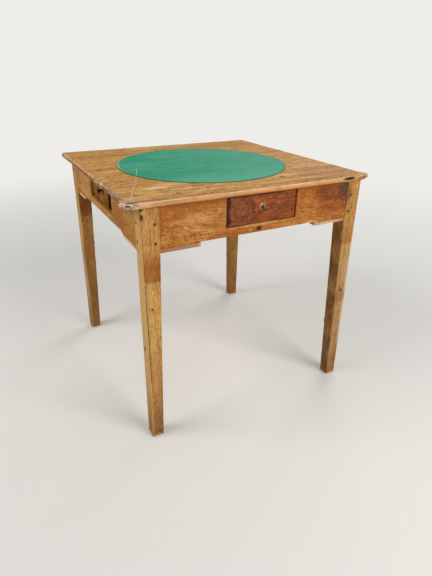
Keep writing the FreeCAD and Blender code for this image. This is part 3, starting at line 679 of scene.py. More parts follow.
def top_wear(board_low, board_high):
    """The worn shape of one top board, as a function of a point and how far round an edge it is.

    That function gives the moved point, how worn it is, painted highlight included, and how dark it is,
    soiling and painted shade included.
    """
    middle, half = (board_low.y + board_high.y) / 2, (board_high.y - board_low.y) / 2

    def shape(point, rub_and_highlight):
        dirt_and_shade = 0.0
        side_share = (point.z - UNDER_TOP) / (TOP - UNDER_TOP)
        from_left, from_right = point.x - top_low.x, top_high.x - point.x
        from_front, from_back = point.y - top_low.y, top_high.y - point.y
        if side_share > 0.5:
            crown = BOARD_CROWN * (abs(point.y - middle) / half) ** 2
            point.z -= crown + BOARD_WAVES * (1 + rough(point, (4, 26, 1)))
        for distance, axis, way, scale in ((from_left, 0, 1, (0, 30, 60)), (from_right, 0, -1, (0, 24, 60)),
                                           (from_front, 1, 1, (22, 0, 60)), (from_back, 1, -1, (22, 0, 60))):
            hold = max(0.0, 1 - distance / EDGE_REACH)
            if hold > 0:
                point[axis] += way * hold * EDGE_WAVES * (1 + rough(point, scale, 3.7 * axis))
        if from_left < CHEWED_REACH:
            for place, half_length, depth in CHEWED:
                hold = hump(point.y, place, half_length) * max(0.0, 1 - from_left / CHEWED_REACH)
                torn = 0.5 + 0.5 * rough(point, (30, 310, 420), 1.3)
                point.x += depth * hold * torn * (0.3 + 0.7 * side_share)
                point.z -= depth * 0.45 * hold * torn * side_share
                rub_and_highlight = max(rub_and_highlight * (1 - hold), hold * (0.1 + 0.5 * torn))
                dirt_and_shade = max(dirt_and_shade, hold * (1.1 - 1.9 * torn))
        if from_front < DENT_REACH:
            slot_hold = hump(point.x, SPLIT.middle, SPLIT.half_length)
            slot_hold *= hump(point.z, SPLIT.z, SPLIT.half_height)
            slot_hold = min(1.0, slot_hold * (2.4 + 2.6 * rough(point, (85, 0, 0), 5.5)))
            front_share = max(0.0, 1 - from_front / SPLIT_REACH)
            point.y += SPLIT.depth * slot_hold * front_share
            dirt_and_shade = max(dirt_and_shade, slot_hold * min(1.0, front_share * 1.6))
            for place, half_length, depth in FRONT_DENTS:
                hold = hump(point.x, place, half_length) * side_share * max(0.0, 1 - from_front / DENT_REACH)
                point.y += depth * hold
                point.z -= depth * 0.6 * hold
                dirt_and_shade = max(dirt_and_shade, 0.35 * hold)
        if from_left < SPLINTER_REACH:
            reach = hump(point.y, SPLINTER_OUT.y, SPLINTER_OUT.half)
            reach *= (1 - from_left / SPLINTER_REACH) * (1 - 0.5 * side_share)
            point.x -= SPLINTER_OUT.reach * reach * (0.75 + 0.4 * rough(point, (90, 420, 300), 3.1))
        beyond = beyond_break(point)
        if beyond > -BREAK_REACH:
            torn = 0.5 + 0.5 * rough(point, (60, 330, 260), 7.1)
            shreds = 0.5 + 0.5 * rough(point, (170, 800, 500), 2.9)
            slope = held(1 + beyond / BREAK_SLOPE)
            point.z -= BREAK_DROP * slope ** 1.2 * side_share * (0.35 + 0.9 * torn)
            edge = 0.0035 * (torn - 0.5) + 0.002 * (shreds - 0.5)
            if beyond > edge:
                point.xy = point.xy - BREAK_OUT * (beyond - edge) * 0.94
            frayed = max(0.0, 1 + beyond / FRAYED_REACH)
            rub_and_highlight = max(rub_and_highlight * (1 - frayed), min(1.0, 1.6 * slope) * (1.5 * shreds - 0.2))
            dirt_and_shade = max(dirt_and_shade, min(1.0, 1.7 * slope) * (2.2 - 2.8 * torn), frayed * (1.2 - 2 * shreds))
        lower = max(0.0, 1 - side_share / LOWER_SHARE)
        rub_and_highlight *= 1 - lower
        # Painted shade on the lower part of each edge, and along the front edge's upper part a thin pale
        # band: painted highlight
        if min(from_front, from_left, from_back, from_right) < EDGE_SHADE_AND_HIGHLIGHT_REACH:
            dirt_and_shade = max(dirt_and_shade, 0.3 * lower * (1 + rough(point, (40, 40, 10), 4.4)))
            if from_front < EDGE_SHADE_AND_HIGHLIGHT_REACH:
                rub_and_highlight = max(rub_and_highlight, 0.12 * (1 - lower) * (1 + 1.2 * rough(point, (5, 5, 30), 8.1)))
        # Painted highlight: a smooth pale band on the front edge's upper part near the broken corner, with
        # the darkening taken off there
        if from_front < NOSE_HIGHLIGHT.depth and NOSE_HIGHLIGHT.start < from_left < NOSE_HIGHLIGHT.end:
            smooth = hump(from_left, NOSE_HIGHLIGHT.middle, NOSE_HIGHLIGHT.half) * (1 - lower)
            rub_and_highlight = max(rub_and_highlight, 0.32 * smooth)
            dirt_and_shade *= 1 - smooth
        from_tip = math.hypot(from_right, from_front)
        right_tip = max(0.0, 1 - from_tip / TIP_WORN_REACH)
        if right_tip > 0:
            point.z += TIP_WORN * right_tip * (1 - side_share)
            rub_and_highlight = max(rub_and_highlight, min(1.0, 2.4 * (right_tip - 0.35)))
            # Painted shade on the worn tip's lower part
            dirt_and_shade = max(dirt_and_shade, 0.5 * right_tip * lower)
        point.z += TIP_CURL * max(0.0, 1 - from_tip / TIP_CURL_REACH) ** 1.5
        point = blunt(point, (top_high.x, top_low.y), FRONT_RIGHT_ROUNDING)
        point = blunt(point, (top_low.x, top_high.y), BACK_LEFT_ROUNDING)
        point = blunt(point, (top_high.x, top_high.y), BACK_RIGHT_ROUNDING)
        return point, rub_and_highlight, dirt_and_shade

    return shape


# Knots, stains and scratches, in millimetres, with the top's face at 740
SPLINTER = (236, 206, 160)
DARK_LINE = (96, 58, 28)
BLACK_BROWN = (54, 28, 10)
TOP_KNOTS = {
    1: [((118, -292, 740), 7.5), ((-236, -331, 740), 6)],
    2: [((-350, -77, 740), 5), ((331, -142, 740), 6)],
    3: [((-346, 26, 740), 7.5), ((342, 118, 740), 7)],
    4: [((-171, 334, 740), 8), ((227, 348, 740), 7), ((-352, 252, 740), 6)],
}
TOP_STAINS = {
    1: [stain((-224, -218, 740), (45, 16, 10), (212, 144, 84), 0.55),
        stain((-270, -256, 740), (45, 16, 10), SPLINTER, 0.5, 1.6, (40, 300, 60)),
        stain((-200, -236, 740), (60, 20, 10), (226, 170, 112), 0.45, 1.6, (30, 220, 60)),
        stain((-362, -352, 740), (50, 42, 20), (208, 168, 128), 0.4, 0.9, (70, 420, 200)),
        stain((-394, -348, 727), (20, 24, 9), (252, 226, 204), 0.75, 0.8, (160, 420, 300)),
        stain((-352, -366, 740), (36, 10, 12), (92, 70, 58), 0.75, 1.4, (130, 300, 200), patchy=True),
        stain((-350, -382, 734), (40, 10, 10), (216, 158, 108), 0.6, 0.5, (40, 60, 160)),
        stain((-392, -250, 740), (16, 90, 30), (112, 76, 52), 0.7, 0.9, (120, 60, 120)),
        stain((-330, -365, 740), (55, 10, 20), (120, 88, 66), 0.55, 1.2, (60, 500, 200)),
        tint((300, -280, 740), (150, 100, 10), (172, 122, 58), 0.85, 1, (20, 90, 20)),
        # Along the whole front edge, the upper half lighter and the lower half darker: painted highlight and
        # painted shade on the rounded nosing
        stain((20, -381, 732), (420, 7, 8), (226, 158, 92), 0.7, 0.5, (24, 60, 160)),
        stain((20, -381, 724), (420, 7, 8), (178, 104, 46), 0.7, 0.5, (24, 60, 160)),
        tint((-220, -280, 740), (160, 80, 10), (226, 180, 108), 0.8, 1, (20, 90, 20)),
        stain((358, -382, 732), (26, 10, 12), (140, 70, 30), 0.7, 0.6),
        # Painted highlight: a near-white spot at the front right tip
        stain((388, -381, 740), (9, 9, 12), (250, 238, 220), 0.9, 0.6)],
    2: [stain((-395, -120, 740), (22, 80, 30), (118, 80, 54), 0.7, 0.9, (120, 60, 120)),
        stain((-390, -88, 740), (8, 14, 20), (240, 214, 180), 0.65, 2, 300),
        stain((-388, -142, 740), (8, 16, 20), (240, 214, 180), 0.65, 2, 300)],
    3: [stain((-400, 60, 740), (22, 100, 30), (150, 84, 44), 0.65, 0.9, (120, 80, 120))],
    4: [stain((-400, 300, 740), (18, 100, 30), SPLINTER, 0.5, 0.9, (60, 200, 60)),
        # Painted sheen: board 4's back strip made paler
        tint((-100, 380, 740), (340, 70, 10), (214, 182, 128), 0.8, 1, (14, 60, 20))],
}
TOP_SCRATCHES = {
    1: [scratch((-388.5, -190, 734), (-388.5, -330, 733), BLACK_BROWN, 1.6, 0.85),
        scratch((-383.5, -210, 740), (-381.5, -310, 740), DARK_LINE, 1.2, 0.75),
        scratch((-331, -251, 740), (-385, -380, 740), SPLINTER, 1, 0.7),
        scratch((-303, -190.5, 740), (-331, -251, 740), SPLINTER, 1.1, 0.6),
        scratch((-376, -197, 740), (-300, -193, 740), SPLINTER, 1.7, 0.7),
        scratch((-347, -363, 740), (-278, -371, 740), DARK_LINE, 1.1, 0.75),
        scratch((-278, -369, 740), (-215, -362, 740), DARK_LINE, 1.1, 0.8),
        scratch((-215, -362, 740), (-117, -347, 740), DARK_LINE, 1, 0.75),
        scratch((-158, -254, 740), (-139, -254, 740), DARK_LINE, 1.4, 0.8),
        scratch((-129, -353, 740), (-108, -352, 740), DARK_LINE, 1.6, 0.8),
        scratch((-318, -318, 740), (-282, -322, 740), DARK_LINE, 1.3, 0.7),
        scratch((24, -291, 740), (38, -291, 740), DARK_LINE, 1.5, 0.8),
        scratch((140, -345, 740), (260, -338, 740), DARK_LINE, 0.8, 0.5),
        scratch((50, -222, 740), (330, -229, 740), DARK_LINE, 0.7, 0.4)],
    2: [scratch((-388.5, -40, 733), (-388.5, -190, 734), BLACK_BROWN, 1.6, 0.85),
        scratch((-376, -183.5, 740), (-293, -158, 740), SPLINTER, 1.7, 0.65),
        scratch((-235, -9, 740), (-303, -190.5, 740), SPLINTER, 1.1, 0.6),
        scratch((-360, -30, 740), (-310, -34, 740), DARK_LINE, 0.9, 0.6)],
    3: [scratch((-387.5, 190, 737), (-387.5, 50, 736), BLACK_BROWN, 1.2, 0.75),
        scratch((-370, 151, 740), (-312, 148, 740), DARK_LINE, 0.9, 0.6),
        scratch((300, 60, 740), (370, 64, 740), DARK_LINE, 0.9, 0.5)],
    4: [scratch((-387.5, 370, 737), (-387.5, 190, 737), BLACK_BROWN, 1.2, 0.75),
        scratch((-100, 362, 740), (70, 359, 740), DARK_LINE, 0.9, 0.5),
        scratch((-330, 212, 740), (-200, 218, 740), DARK_LINE, 0.9, 0.5)],
}
CLOTH_LINES = [scratch((-235, -9, 742), (-288, -150, 742), (176, 208, 170), 1.3, 0.7)]
TOP_PITHS = {1: (-0.30, 0.655), 2: (-0.06, 0.640), 3: (0.085, 0.662), 4: (0.315, 0.648)}


# How finely the boards are divided along each axis: the cells' size, that near the ends and how far these go.
# Then how far from its left end and front edge board 1 is divided finer still, and how many times.
TOP_CELLS = ((0.0065, 0.0011, 0.0066), (0.006, 0.0011, 0.0066), (0.0016, 0.0008, 0.0032))
BREAK_CELLS = Facts(along=0.075, across=0.095, times=4)


def build_top():
    for number in (1, 2, 3, 4):
        node = f"top_board_{number}"
        low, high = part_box(node)
        outer_front, outer_back = number == 1, number == 4
        places = [stops(low[axis], high[axis], *TOP_CELLS[axis]) for axis in range(3)]
        if outer_front:
            places[0] = closer(places[0], low.x + BREAK_CELLS.along, BREAK_CELLS.times)
            places[1] = closer(places[1], low.y + BREAK_CELLS.across, BREAK_CELLS.times)
        front_edge = TOP_NOSE if outer_front else SEAM_EDGE
        back_edge = TOP_NOSE if outer_back else SEAM_EDGE
        radii = [(TOP_NOSE, TOP_NOSE), (front_edge, back_edge), (TOP_LOWER_EDGE, TOP_NOSE)]
        looks = FRONT_TOP if outer_front else BACK_TOP
        material = wood(f"top_wood_{number}", looks, "X", TOP_PITHS[number], slope=0.012 * (-1) ** number,
                        spacing=0.0031 + 0.0003 * number, knots=TOP_KNOTS[number], stains=TOP_STAINS[number],
                        scratches=TOP_SCRATCHES[number], ends=(low.x, high.x), worn=True)
        worn_block(f"worn_top_board_{number}", node, places, radii, top_wear(low, high), material,
                   slivers() if outer_front else ((), (), ()))


# The legs: square heads, then a taper, with rubbed edges

LEGS = {"front_left": (-1, -1), "front_right": (1, -1), "back_right": (1, 1), "back_left": (-1, 1)}

# The darker band below each leg's head: its lower and upper edges and how strong it is
LEG_ZONES = {"front_left": (0.524, 0.62, 0.78), "front_right": (0.520, 0.60, 0.5),
             "back_left": (0.506, 0.62, 0.7), "back_right": (0.535, 0.60, 0.6)}
LEG_KNOTS = {
    "front_left": [((-341, -376, 445), 4), ((-358, -352, 310), 7)],
    "front_right": [((338, -376, 352), 6), ((322, -376, 151), 5)],
    "back_right": [((340, 376, 402), 6)],
    "back_left": [((-358, 352, 262), 6), ((-332, 376, 471), 5)],
}
# Chips out of the front left leg's corner: height, half the length and depth
CHIPS = ((0.7225, 0.006, 0.0024), (0.702, 0.011, 0.0026))
CHIP_REACH = 0.007

# How far the legs' faces wave, how deep the nicks in their edges are and how high their feet are dirty
LEG_WAVES = 0.0005
NICK_DEPTH = 0.006
FOOT_DIRT_TOP = 0.03

# The rounding of the legs' edges, and how finely their sides and heights are divided, as for the boards
LEG_ROUNDING, LEG_FOOT_ROUNDING, LEG_TOP_ROUNDING = 0.0021, 0.003, 0.0005
LEG_CELLS = (0.007, 0.0008, 0.004)
LEG_HEIGHT_CELLS = (0.0065, 0.001, 0.004)
CHIPPED_ABOVE, CHIPPED_TIMES = 0.685, 4

# How far inside a leg's outer corner the tree's middle was
LEG_PITH = (0.13, 0.10)
PALE_FACE = (212, 174, 110)


def leg_corners(name):
    """A leg's inner corner, its outer corner at the head and its outer corner at the foot, in plan."""
    low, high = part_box(f"{name}_leg")
    x_sign, y_sign = LEGS[name]
    foot = Vector((low.x if x_sign < 0 else high.x, low.y if y_sign < 0 else high.y, 0))
    inner = Vector((high.x if x_sign < 0 else low.x, high.y if y_sign < 0 else low.y, 0))
    return inner, inner + Vector((x_sign * LEG_HEAD, y_sign * LEG_HEAD, 0)), foot


def leg_wear(name, head, splay):
    """The taper, the splay and the worn edges of one leg, with its soiling and painted shade."""
    x_sign, y_sign = LEGS[name]

    def shape(point, rub_and_highlight):
        share = max(0.0, (TAPER_START - point.z) / TAPER_START)
        dirt_and_shade = 0.0
        for axis, sign in ((0, x_sign), (1, y_sign)):
            inward = (head[axis] - point[axis]) * sign
            tapered = -splay + inward * LEG_FOOT / LEG_HEAD
            point[axis] = head[axis] - sign * (inward + (tapered - inward) * share)
        wave = LEG_WAVES * (rough(point, (3, 3, 9), x_sign * 2.0 + y_sign)
                            + 0.5 * rough(point, (60, 60, 35), 5.0))
        point.x += wave
        point.y += wave * 0.7
        from_corner = math.hypot(point.x - head.x, point.y - head.y)
        if name == "front_left" and point.z > 0.6:
            for height, half_length, depth in CHIPS:
                hold = min(1.0, 1.6 * hump(point.z, height, half_length))
                hold *= max(0.0, 1 - from_corner / CHIP_REACH)
                point.x += depth * hold
                point.y += depth * hold * 0.4
                dirt_and_shade = max(dirt_and_shade, min(1.0, hold * 1.5))
        inner_side = (head.x - point.x) * x_sign
        width = LEG_HEAD + (LEG_FOOT - LEG_HEAD) * share
        # Painted shade: the front right leg's inner face, shaded by the table, and the back legs all over are
        # darkened along with their grime
        if name == "front_right" and inner_side + splay * share > width - 0.002:
            dirt_and_shade = max(dirt_and_shade, 0.38 + 0.35 * rough(point, (30, 30, 14), 2.0)
                       + 0.25 * rough(point, (90, 90, 60), 6.0))
        elif y_sign > 0:
            dirt_and_shade = max(dirt_and_shade, 0.24 + 0.2 * rough(point, (40, 40, 16), 1.0))
        nick = max(0.0, rough(point, (40, 40, 55), 9.0 + x_sign) - 0.34)
        if rub_and_highlight > 0.3:
            point.x -= x_sign * nick * NICK_DEPTH
            point.y -= y_sign * nick * NICK_DEPTH
            dirt_and_shade = max(dirt_and_shade, nick * 1.2)
        foot = max(0.0, 1 - point.z / FOOT_DIRT_TOP)
        dirt_and_shade = max(dirt_and_shade, 0.5 * foot * (0.6 + rough(point, (90, 90, 60))))
        return point, rub_and_highlight * 0.75, dirt_and_shade

    return shape


def leg_marks(name, head):
    """The stains and scratches of one leg, in millimetres."""
    x_sign, y_sign = LEGS[name]
    x, y = head.x / MM, head.y / MM
    marks, lines = [stain((x, y, 0), (60, 60, 12), PALE_FACE, 0.55, 0.9, 120)], []
    if x_sign < 0:
        marks.append(stain((x - 1.5, y - y_sign * 24, 360), (4.8, 50, 750), PALE_FACE, 0.5, 0.6,
                           (260, 260, 14)))
    if name == "front_left":
        marks += [tint((x + 30, y, 420), (50, 20, 190), (218, 172, 98), 0.8),
                  tint((x + 30, y, 210), (50, 20, 90), (218, 162, 98), 0.6),
                  tint((x + 30, y, 40), (50, 20, 80), (164, 120, 68), 0.7),
                  tint((x + 20, y, 690), (22, 20, 90), (208, 148, 84), 0.7)]
        lines = [scratch((x + 1.4, y, 735), (x + 1, y, 560), BLACK_BROWN, 1.5, 0.85),
                 scratch((x + 1, y, 560), (x + 1.2, y - 4, 200), BLACK_BROWN, 1.6, 0.8)]
    if name == "front_right":
        marks += [stain((334.5, -376, 640), (3.5, 10, 4.5), DARK_LINE, 0.9, 0.3),
                  stain((352, -376, 606), (10, 10, 2.2), DARK_LINE, 0.7, 0.3),
                  stain((310, -376, 684), (20, 10, 36), (100, 72, 52), 0.65, 0.9, (110, 60, 110)),
                  stain((346, -376, 440), (30, 20, 60), (186, 148, 104), 0.5, 1.2, (90, 60, 60)),
                  tint((335, -376, 300), (50, 20, 340), (200, 160, 102), 0.8),
                  stain((x, -376, 340), (9, 20, 280), (206, 182, 142), 0.6, 0.7, (200, 60, 20)),
                  stain((335, -376, 325), (40, 40, 30), (120, 84, 52), 0.45, 1.6, (160, 160, 60))]
    if name == "back_left":
        marks.append(tint((-335, y - 48, 420), (50, 20, 130), (228, 160, 84), 0.8))
    return marks, lines


def build_legs():
    for name, (x_sign, y_sign) in LEGS.items():
        low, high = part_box(f"{name}_leg")
        inner, head, foot = leg_corners(name)
        splay = abs(foot.x - head.x)
        places = [stops(*sorted((head[axis], inner[axis])), *LEG_CELLS) for axis in (0, 1)]
        places.append(stops(low.z, high.z, *LEG_HEIGHT_CELLS))
        if name == "front_left":
            downwards = closer([-place for place in reversed(places[2])], -CHIPPED_ABOVE, CHIPPED_TIMES)
            places[2] = [-place for place in reversed(downwards)]
        radii = [(LEG_ROUNDING, LEG_ROUNDING)] * 2 + [(LEG_FOOT_ROUNDING, LEG_TOP_ROUNDING)]
        height, top, strength = LEG_ZONES[name]
        zone = Facts(height=height, top=top, strength=strength, beside=head.x - 0.001 if x_sign < 0 else None)
        pith = (head.x - x_sign * LEG_PITH[0], head.y - y_sign * LEG_PITH[1])
        marks, lines = leg_marks(name, head)
        material = wood(f"{name}_leg_wood", LEG, "Z", pith, slope=0.004, spacing=0.0023, wild=0.003,
                        knots=LEG_KNOTS[name], stains=marks, scratches=lines, zone=zone, worn=True)
        shape = leg_wear(name, head, splay)
        worn_block(f"worn_{name}_leg", f"{name}_leg", places, radii, shape, material)


# Small round pieces, turned about their own axis


def turned_points(profile, steps, wobble=0.0, seed=0.0):
    """Points, faces and grime of a (radius, height, grime) profile turned about Z, closed at both ends."""
    points, grime_and_shade = [], []
    for ring, (radius, height, dirt_and_shade) in enumerate(profile):
        for step in range(steps):
            out = outward(step, steps)
            stretch = 1 + wobble * noise.noise(out * 1.4 + Vector((seed, ring * 0.15, 0)))
            points.append(out * radius * stretch + Vector((0, 0, height)))
            grime_and_shade.append(dirt_and_shade)
    return points, tube_faces(len(profile), steps), grime_and_shade


def facing(direction, spot):
    """The move that turns the Z axis to a direction and puts the origin at a spot."""
    return Matrix.Translation(spot) @ direction.to_track_quat("Z", "Y").to_matrix().to_4x4()


def gathered(name, pieces, material, slot, body, *nodes):
    """One object from several (points, faces, grime) pieces, in place of the given nodes."""
    points, faces, grime_and_shade = [], [], []
    for piece_points, piece_faces, piece_grime in pieces:
        start = len(points)
        points += piece_points
        faces += [[start + index for index in face] for face in piece_faces]
        grime_and_shade += piece_grime
    made = mesh_object(name, points, faces, {"grime_and_shade": grime_and_shade}, material, body)
    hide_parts(*nodes)
    return made


def at(direction, spot, piece):
    """A turned piece with its axis in a direction and its origin at a spot."""
    move = facing(direction, spot)
    points, faces, grime_and_shade = piece
    return [move @ point for point in points], faces, grime_and_shade


# The pegs' heights and how far they stand from the leg's outer corner
PEG_HEIGHTS = (0.681, 0.630)
PEG_ALONG = 0.036


def build_pegs():
    """The ends of the pegs that hold the apron tenons, a little proud and out of round."""
    pieces = []
    for name, (x_sign, y_sign) in LEGS.items():
        _, head, _ = leg_corners(name)
        for height in PEG_HEIGHTS:
            for direction, spot in (
                    (Vector((0, y_sign, 0)), Vector((head.x - x_sign * PEG_ALONG, head.y, height))),
                    (Vector((x_sign, 0, 0)), Vector((head.x, head.y - y_sign * PEG_ALONG, height)))):
                seed = 10 * height + 3 * x_sign + y_sign + direction.x
                proud = PEG_PROUD * (1 + 0.4 * math.sin(seed * 7))
                profile = [(PEG_RADIUS, -0.003, 1.0), (PEG_RADIUS, -0.0001, 0.9),
                           (PEG_RADIUS * 0.96, proud * 0.7, 0.7), (PEG_RADIUS * 0.82, proud, 0.35),
                           (PEG_RADIUS * 0.4, proud * 1.1, 0.0)]
                pieces.append(at(direction, spot, turned_points(profile, PEG_STEPS, 0.14, seed)))
    gathered("peg_ends", pieces, end_grain("peg_end_grain", tone(142, 92, 46), tone(74, 42, 18)), "peg_oak",
             "frame", "tenon_pegs")


def build_top_nails():
    """Old nail heads, set just below the boards' crown."""
    pieces, heads = [], {}
    for vertex in NODES["top_nails"].data.vertices:
        if vertex.co.z > TOP - 0.001:
            heads.setdefault((round(vertex.co.x, 2), round(vertex.co.y, 2)), []).append(vertex.co)
    for (x, y), corners in sorted(heads.items()):
        middle = sum(corners, Vector()) / len(corners)
        seed = 31 * x + 17 * y
        profile = [(NAIL_RADIUS, TOP - 0.0045, 1.0), (NAIL_RADIUS, TOP - 0.0022, 1.0),
                   (NAIL_HEAD_RADIUS, TOP - 0.0014, 0.9), (NAIL_HEAD_RADIUS, TOP - 0.0003, 0.5),
                   (NAIL_HEAD_RADIUS * 0.75, TOP + 0.0001, 0.2), (NAIL_HEAD_RADIUS * 0.3, TOP - 0.0001, 0.3)]
        turned = turned_points(profile, NAIL_STEPS, 0.2, seed)
        pieces.append(at(Vector((0, 0, 1)), Vector((middle.x, middle.y, 0)), turned))
    gathered("nail_heads", pieces, IRON, "dark_iron", "frame", "top_nails")


def bead(radius, height, thick, dirt_and_shade=0.0, count=5):
    """Profile points round the outer half of a bead whose middle is at a radius and height."""
    turns = [math.pi * (step / (count - 1) - 0.5) for step in range(count)]
    return [(radius + thick * math.cos(turn), height + thick * math.sin(turn), dirt_and_shade) for turn in turns]


def rosette_profile():
    """A pressed round plate with a beaded rim, a hollow and a raised boss."""
    return ([(0.0024, 0.0, 0.6), (0.0112, 0.0, 0.6)] + bead(0.0108, 0.0009, 0.0008)
            + [(0.0099, 0.0012, 0.8), (0.0090, 0.0010, 1.0), (0.0080, 0.0013, 0.5), (0.0068, 0.0020, 0.1),
               (0.0060, 0.0026, 0.2), (0.0054, 0.0025, 0.9), (0.0024, 0.0025, 1.0)])


def knob_profile():
    """The shank, a waisted neck with a collar, and a round head with a rim and a hollow end."""
    return ([(0.0021, -0.0235, 0.6), (0.0021, 0.0024, 0.9), (0.0050, 0.0026, 0.9), (0.0054, 0.0032, 0.3),
             (0.0050, 0.0040, 0.7), (0.0040, 0.0056, 0.6), (0.0034, 0.0072, 0.6), (0.0036, 0.0084, 0.7),
             (0.0048, 0.0094, 0.9), (0.0052, 0.0098, 0.6), (0.0062, 0.0106, 0.2), (0.0071, 0.0120, 0.0),
             (0.0075, 0.0135, 0.0), (0.0073, 0.0152, 0.0), (0.0068, 0.0164, 0.1)]
            + [(0.0062, 0.01715, 0.0), (0.0055, 0.0174, 0.1), (0.0049, 0.0171, 0.6), (0.0046, 0.0164, 1.0),
               (0.0040, 0.0161, 0.8), (0.0028, 0.0163, 0.5), (0.0012, 0.0165, 0.4)])


# How far each knob's head hangs, its shank bent by years of pulling
KNOB_DROOP = {"front": 14, "right": 5, "back": 8, "left": 14}
BEND_START = 0.0026
BEND_LENGTH = 0.004


def hanging(piece, degrees):
    """A turned piece along the Z axis with its outer part bent down, towards -Y."""
    points, faces, grime_and_shade = piece
    turn = Matrix.Rotation(math.radians(degrees), 3, "X")
    bent = [point.lerp(turn @ point, held((point.z - BEND_START) / BEND_LENGTH)) for point in points]
    return bent, faces, grime_and_shade


def build_knobs():
    for name, direction in SIDES.items():
        drawer = f"{name}_drawer"
        low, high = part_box(f"{drawer}_rosette")
        middle = (low + high) / 2
        axis = 0 if direction.x else 1
        middle[axis] = (low if direction[axis] > 0 else high)[axis]
        plate = at(direction, middle, turned_points(rosette_profile(), KNOB_STEPS))
        turned = at(direction, middle, hanging(turned_points(knob_profile(), KNOB_STEPS), KNOB_DROOP[name]))
        pale, dull = (SHADED_BRASS, SHADED_BRASS) if name == "left" else (RUBBED_AND_HIGHLIT_BRASS, OLD_BRASS)
        gathered(f"{drawer}_pressed_rosette", [plate], pale, "old_brass", drawer, f"{drawer}_rosette")
        gathered(f"{drawer}_turned_knob", [turned], dull, "old_brass", drawer, f"{drawer}_knob")


# The cloth: a thin disc, cut by hand, glued down, its edge a little uneven

CLOTH_RINGS = 46
CLOTH_STEPS = 220

# How far its upper face lies below the solid's, how much it swells, how far its rim wanders and how far the
# face underneath stays off the boards
CLOTH_SINK = 0.00035
CLOTH_SWELL = 0.00022
RIM_WAVES, RIM_FRAY = 0.0009, 0.0004
CLOTH_LIFT = 0.00005

# The share of the radius from which the face darkens with grime and painted shade, and where its last ring
# lies and how much lower
DARK_RIM_FROM = 0.985
LAST_RING, LAST_RING_DROP = 0.9975, 0.0002

# How far inside the rim its pale frayed fibres begin and are thickest
FRAYED_RIM = (0.0028, 0.0012)

# The cloth's rings from the middle outwards, over the edge and back underneath, each with a share of the
# radius, or of the thickness at the edge
CLOTH_LEVELS = ([("top", step / CLOTH_RINGS) for step in range(1, CLOTH_RINGS + 1)]
                + [("edge", 0.62), ("edge", 0.12), ("bottom", 0.985), ("bottom", 0.5)])


def cloth_point(kind, value, out):
    """A point of the cloth in a direction from its middle, and how dark it is: soiling with painted shade
    near the rim, full on the edge and underneath.
    """
    middle = (cloth_low + cloth_high) / 2
    rim = CLOTH_RADIUS - RIM_WAVES * (1 + noise.noise(out * 7)) - RIM_FRAY * (1 + noise.noise(out * 31))
    if kind == "top":
        share = 1 - (1 - value) ** 1.25
        spot = middle + out * rim * (share if value < 1 else LAST_RING)
        swell = CLOTH_SWELL * (rough(spot, (26, 34, 1)) + 0.6 * rough(spot, (90, 110, 1)))
        spot.z = cloth_high.z - CLOTH_SINK + swell - (LAST_RING_DROP if value == 1 else 0)
        return spot, max(0.0, (share - DARK_RIM_FROM) / (1 - DARK_RIM_FROM)) * 0.5
    if kind == "edge":
        spot = middle + out * rim
        spot.z = cloth_low.z + (cloth_high.z - cloth_low.z) * value
    else:
        spot = middle + out * rim * value
        spot.z = cloth_low.z + CLOTH_LIFT
    return spot, 1.0


def build_cloth():
    made = [cloth_point(kind, value, outward(step, CLOTH_STEPS))
            for kind, value in CLOTH_LEVELS for step in range(CLOTH_STEPS)]
    points, grime_and_shade = [spot for spot, _ in made], [dirt_and_shade for _, dirt_and_shade in made]
    faces = [[a, d, c, b] for a, b, c, d in ring_faces(len(CLOTH_LEVELS), CLOTH_STEPS)]
    middle = (cloth_low + cloth_high) / 2
    top_middle, bottom_middle = len(points), len(points) + 1
    last = top_middle - CLOTH_STEPS
    points += [Vector((middle.x, middle.y, cloth_high.z - 0.0003)),
               Vector((middle.x, middle.y, cloth_low.z + CLOTH_LIFT))]
    grime_and_shade += [0.0, 1.0]
    for step in range(CLOTH_STEPS):
        after = (step + 1) % CLOTH_STEPS
        faces += [[top_middle, step, after], [bottom_middle, last + after, last + step]]
    cloth = mesh_object("green_baize_cloth", points, faces, {"grime_and_shade": grime_and_shade}, baize(), "frame")
    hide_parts("playing_cloth")


# Pieces that keep their CAD shape, with their edges eased


def coated(node, material):
    thing = NODES[node]
    thing.data.materials.clear()
    thing.data.materials.append(material)
    return thing


def eased(node, width, material):
    """A CAD piece in a material of its own, with edges rounded by a width."""
    thing = coated(node, material)
    weld = thing.modifiers.new("joined_faces", "WELD")
    weld.merge_threshold = 0.00001
    ease = thing.modifiers.new("eased_edges", "BEVEL")
    ease.width = width
    ease.segments = 2
    ease.limit_method = "ANGLE"
    ease.angle_limit = math.radians(35)
    level = thing.modifiers.new("even_shading", "WEIGHTED_NORMAL")
    level.keep_sharp = False


GREY_BROWN = (78, 52, 38)


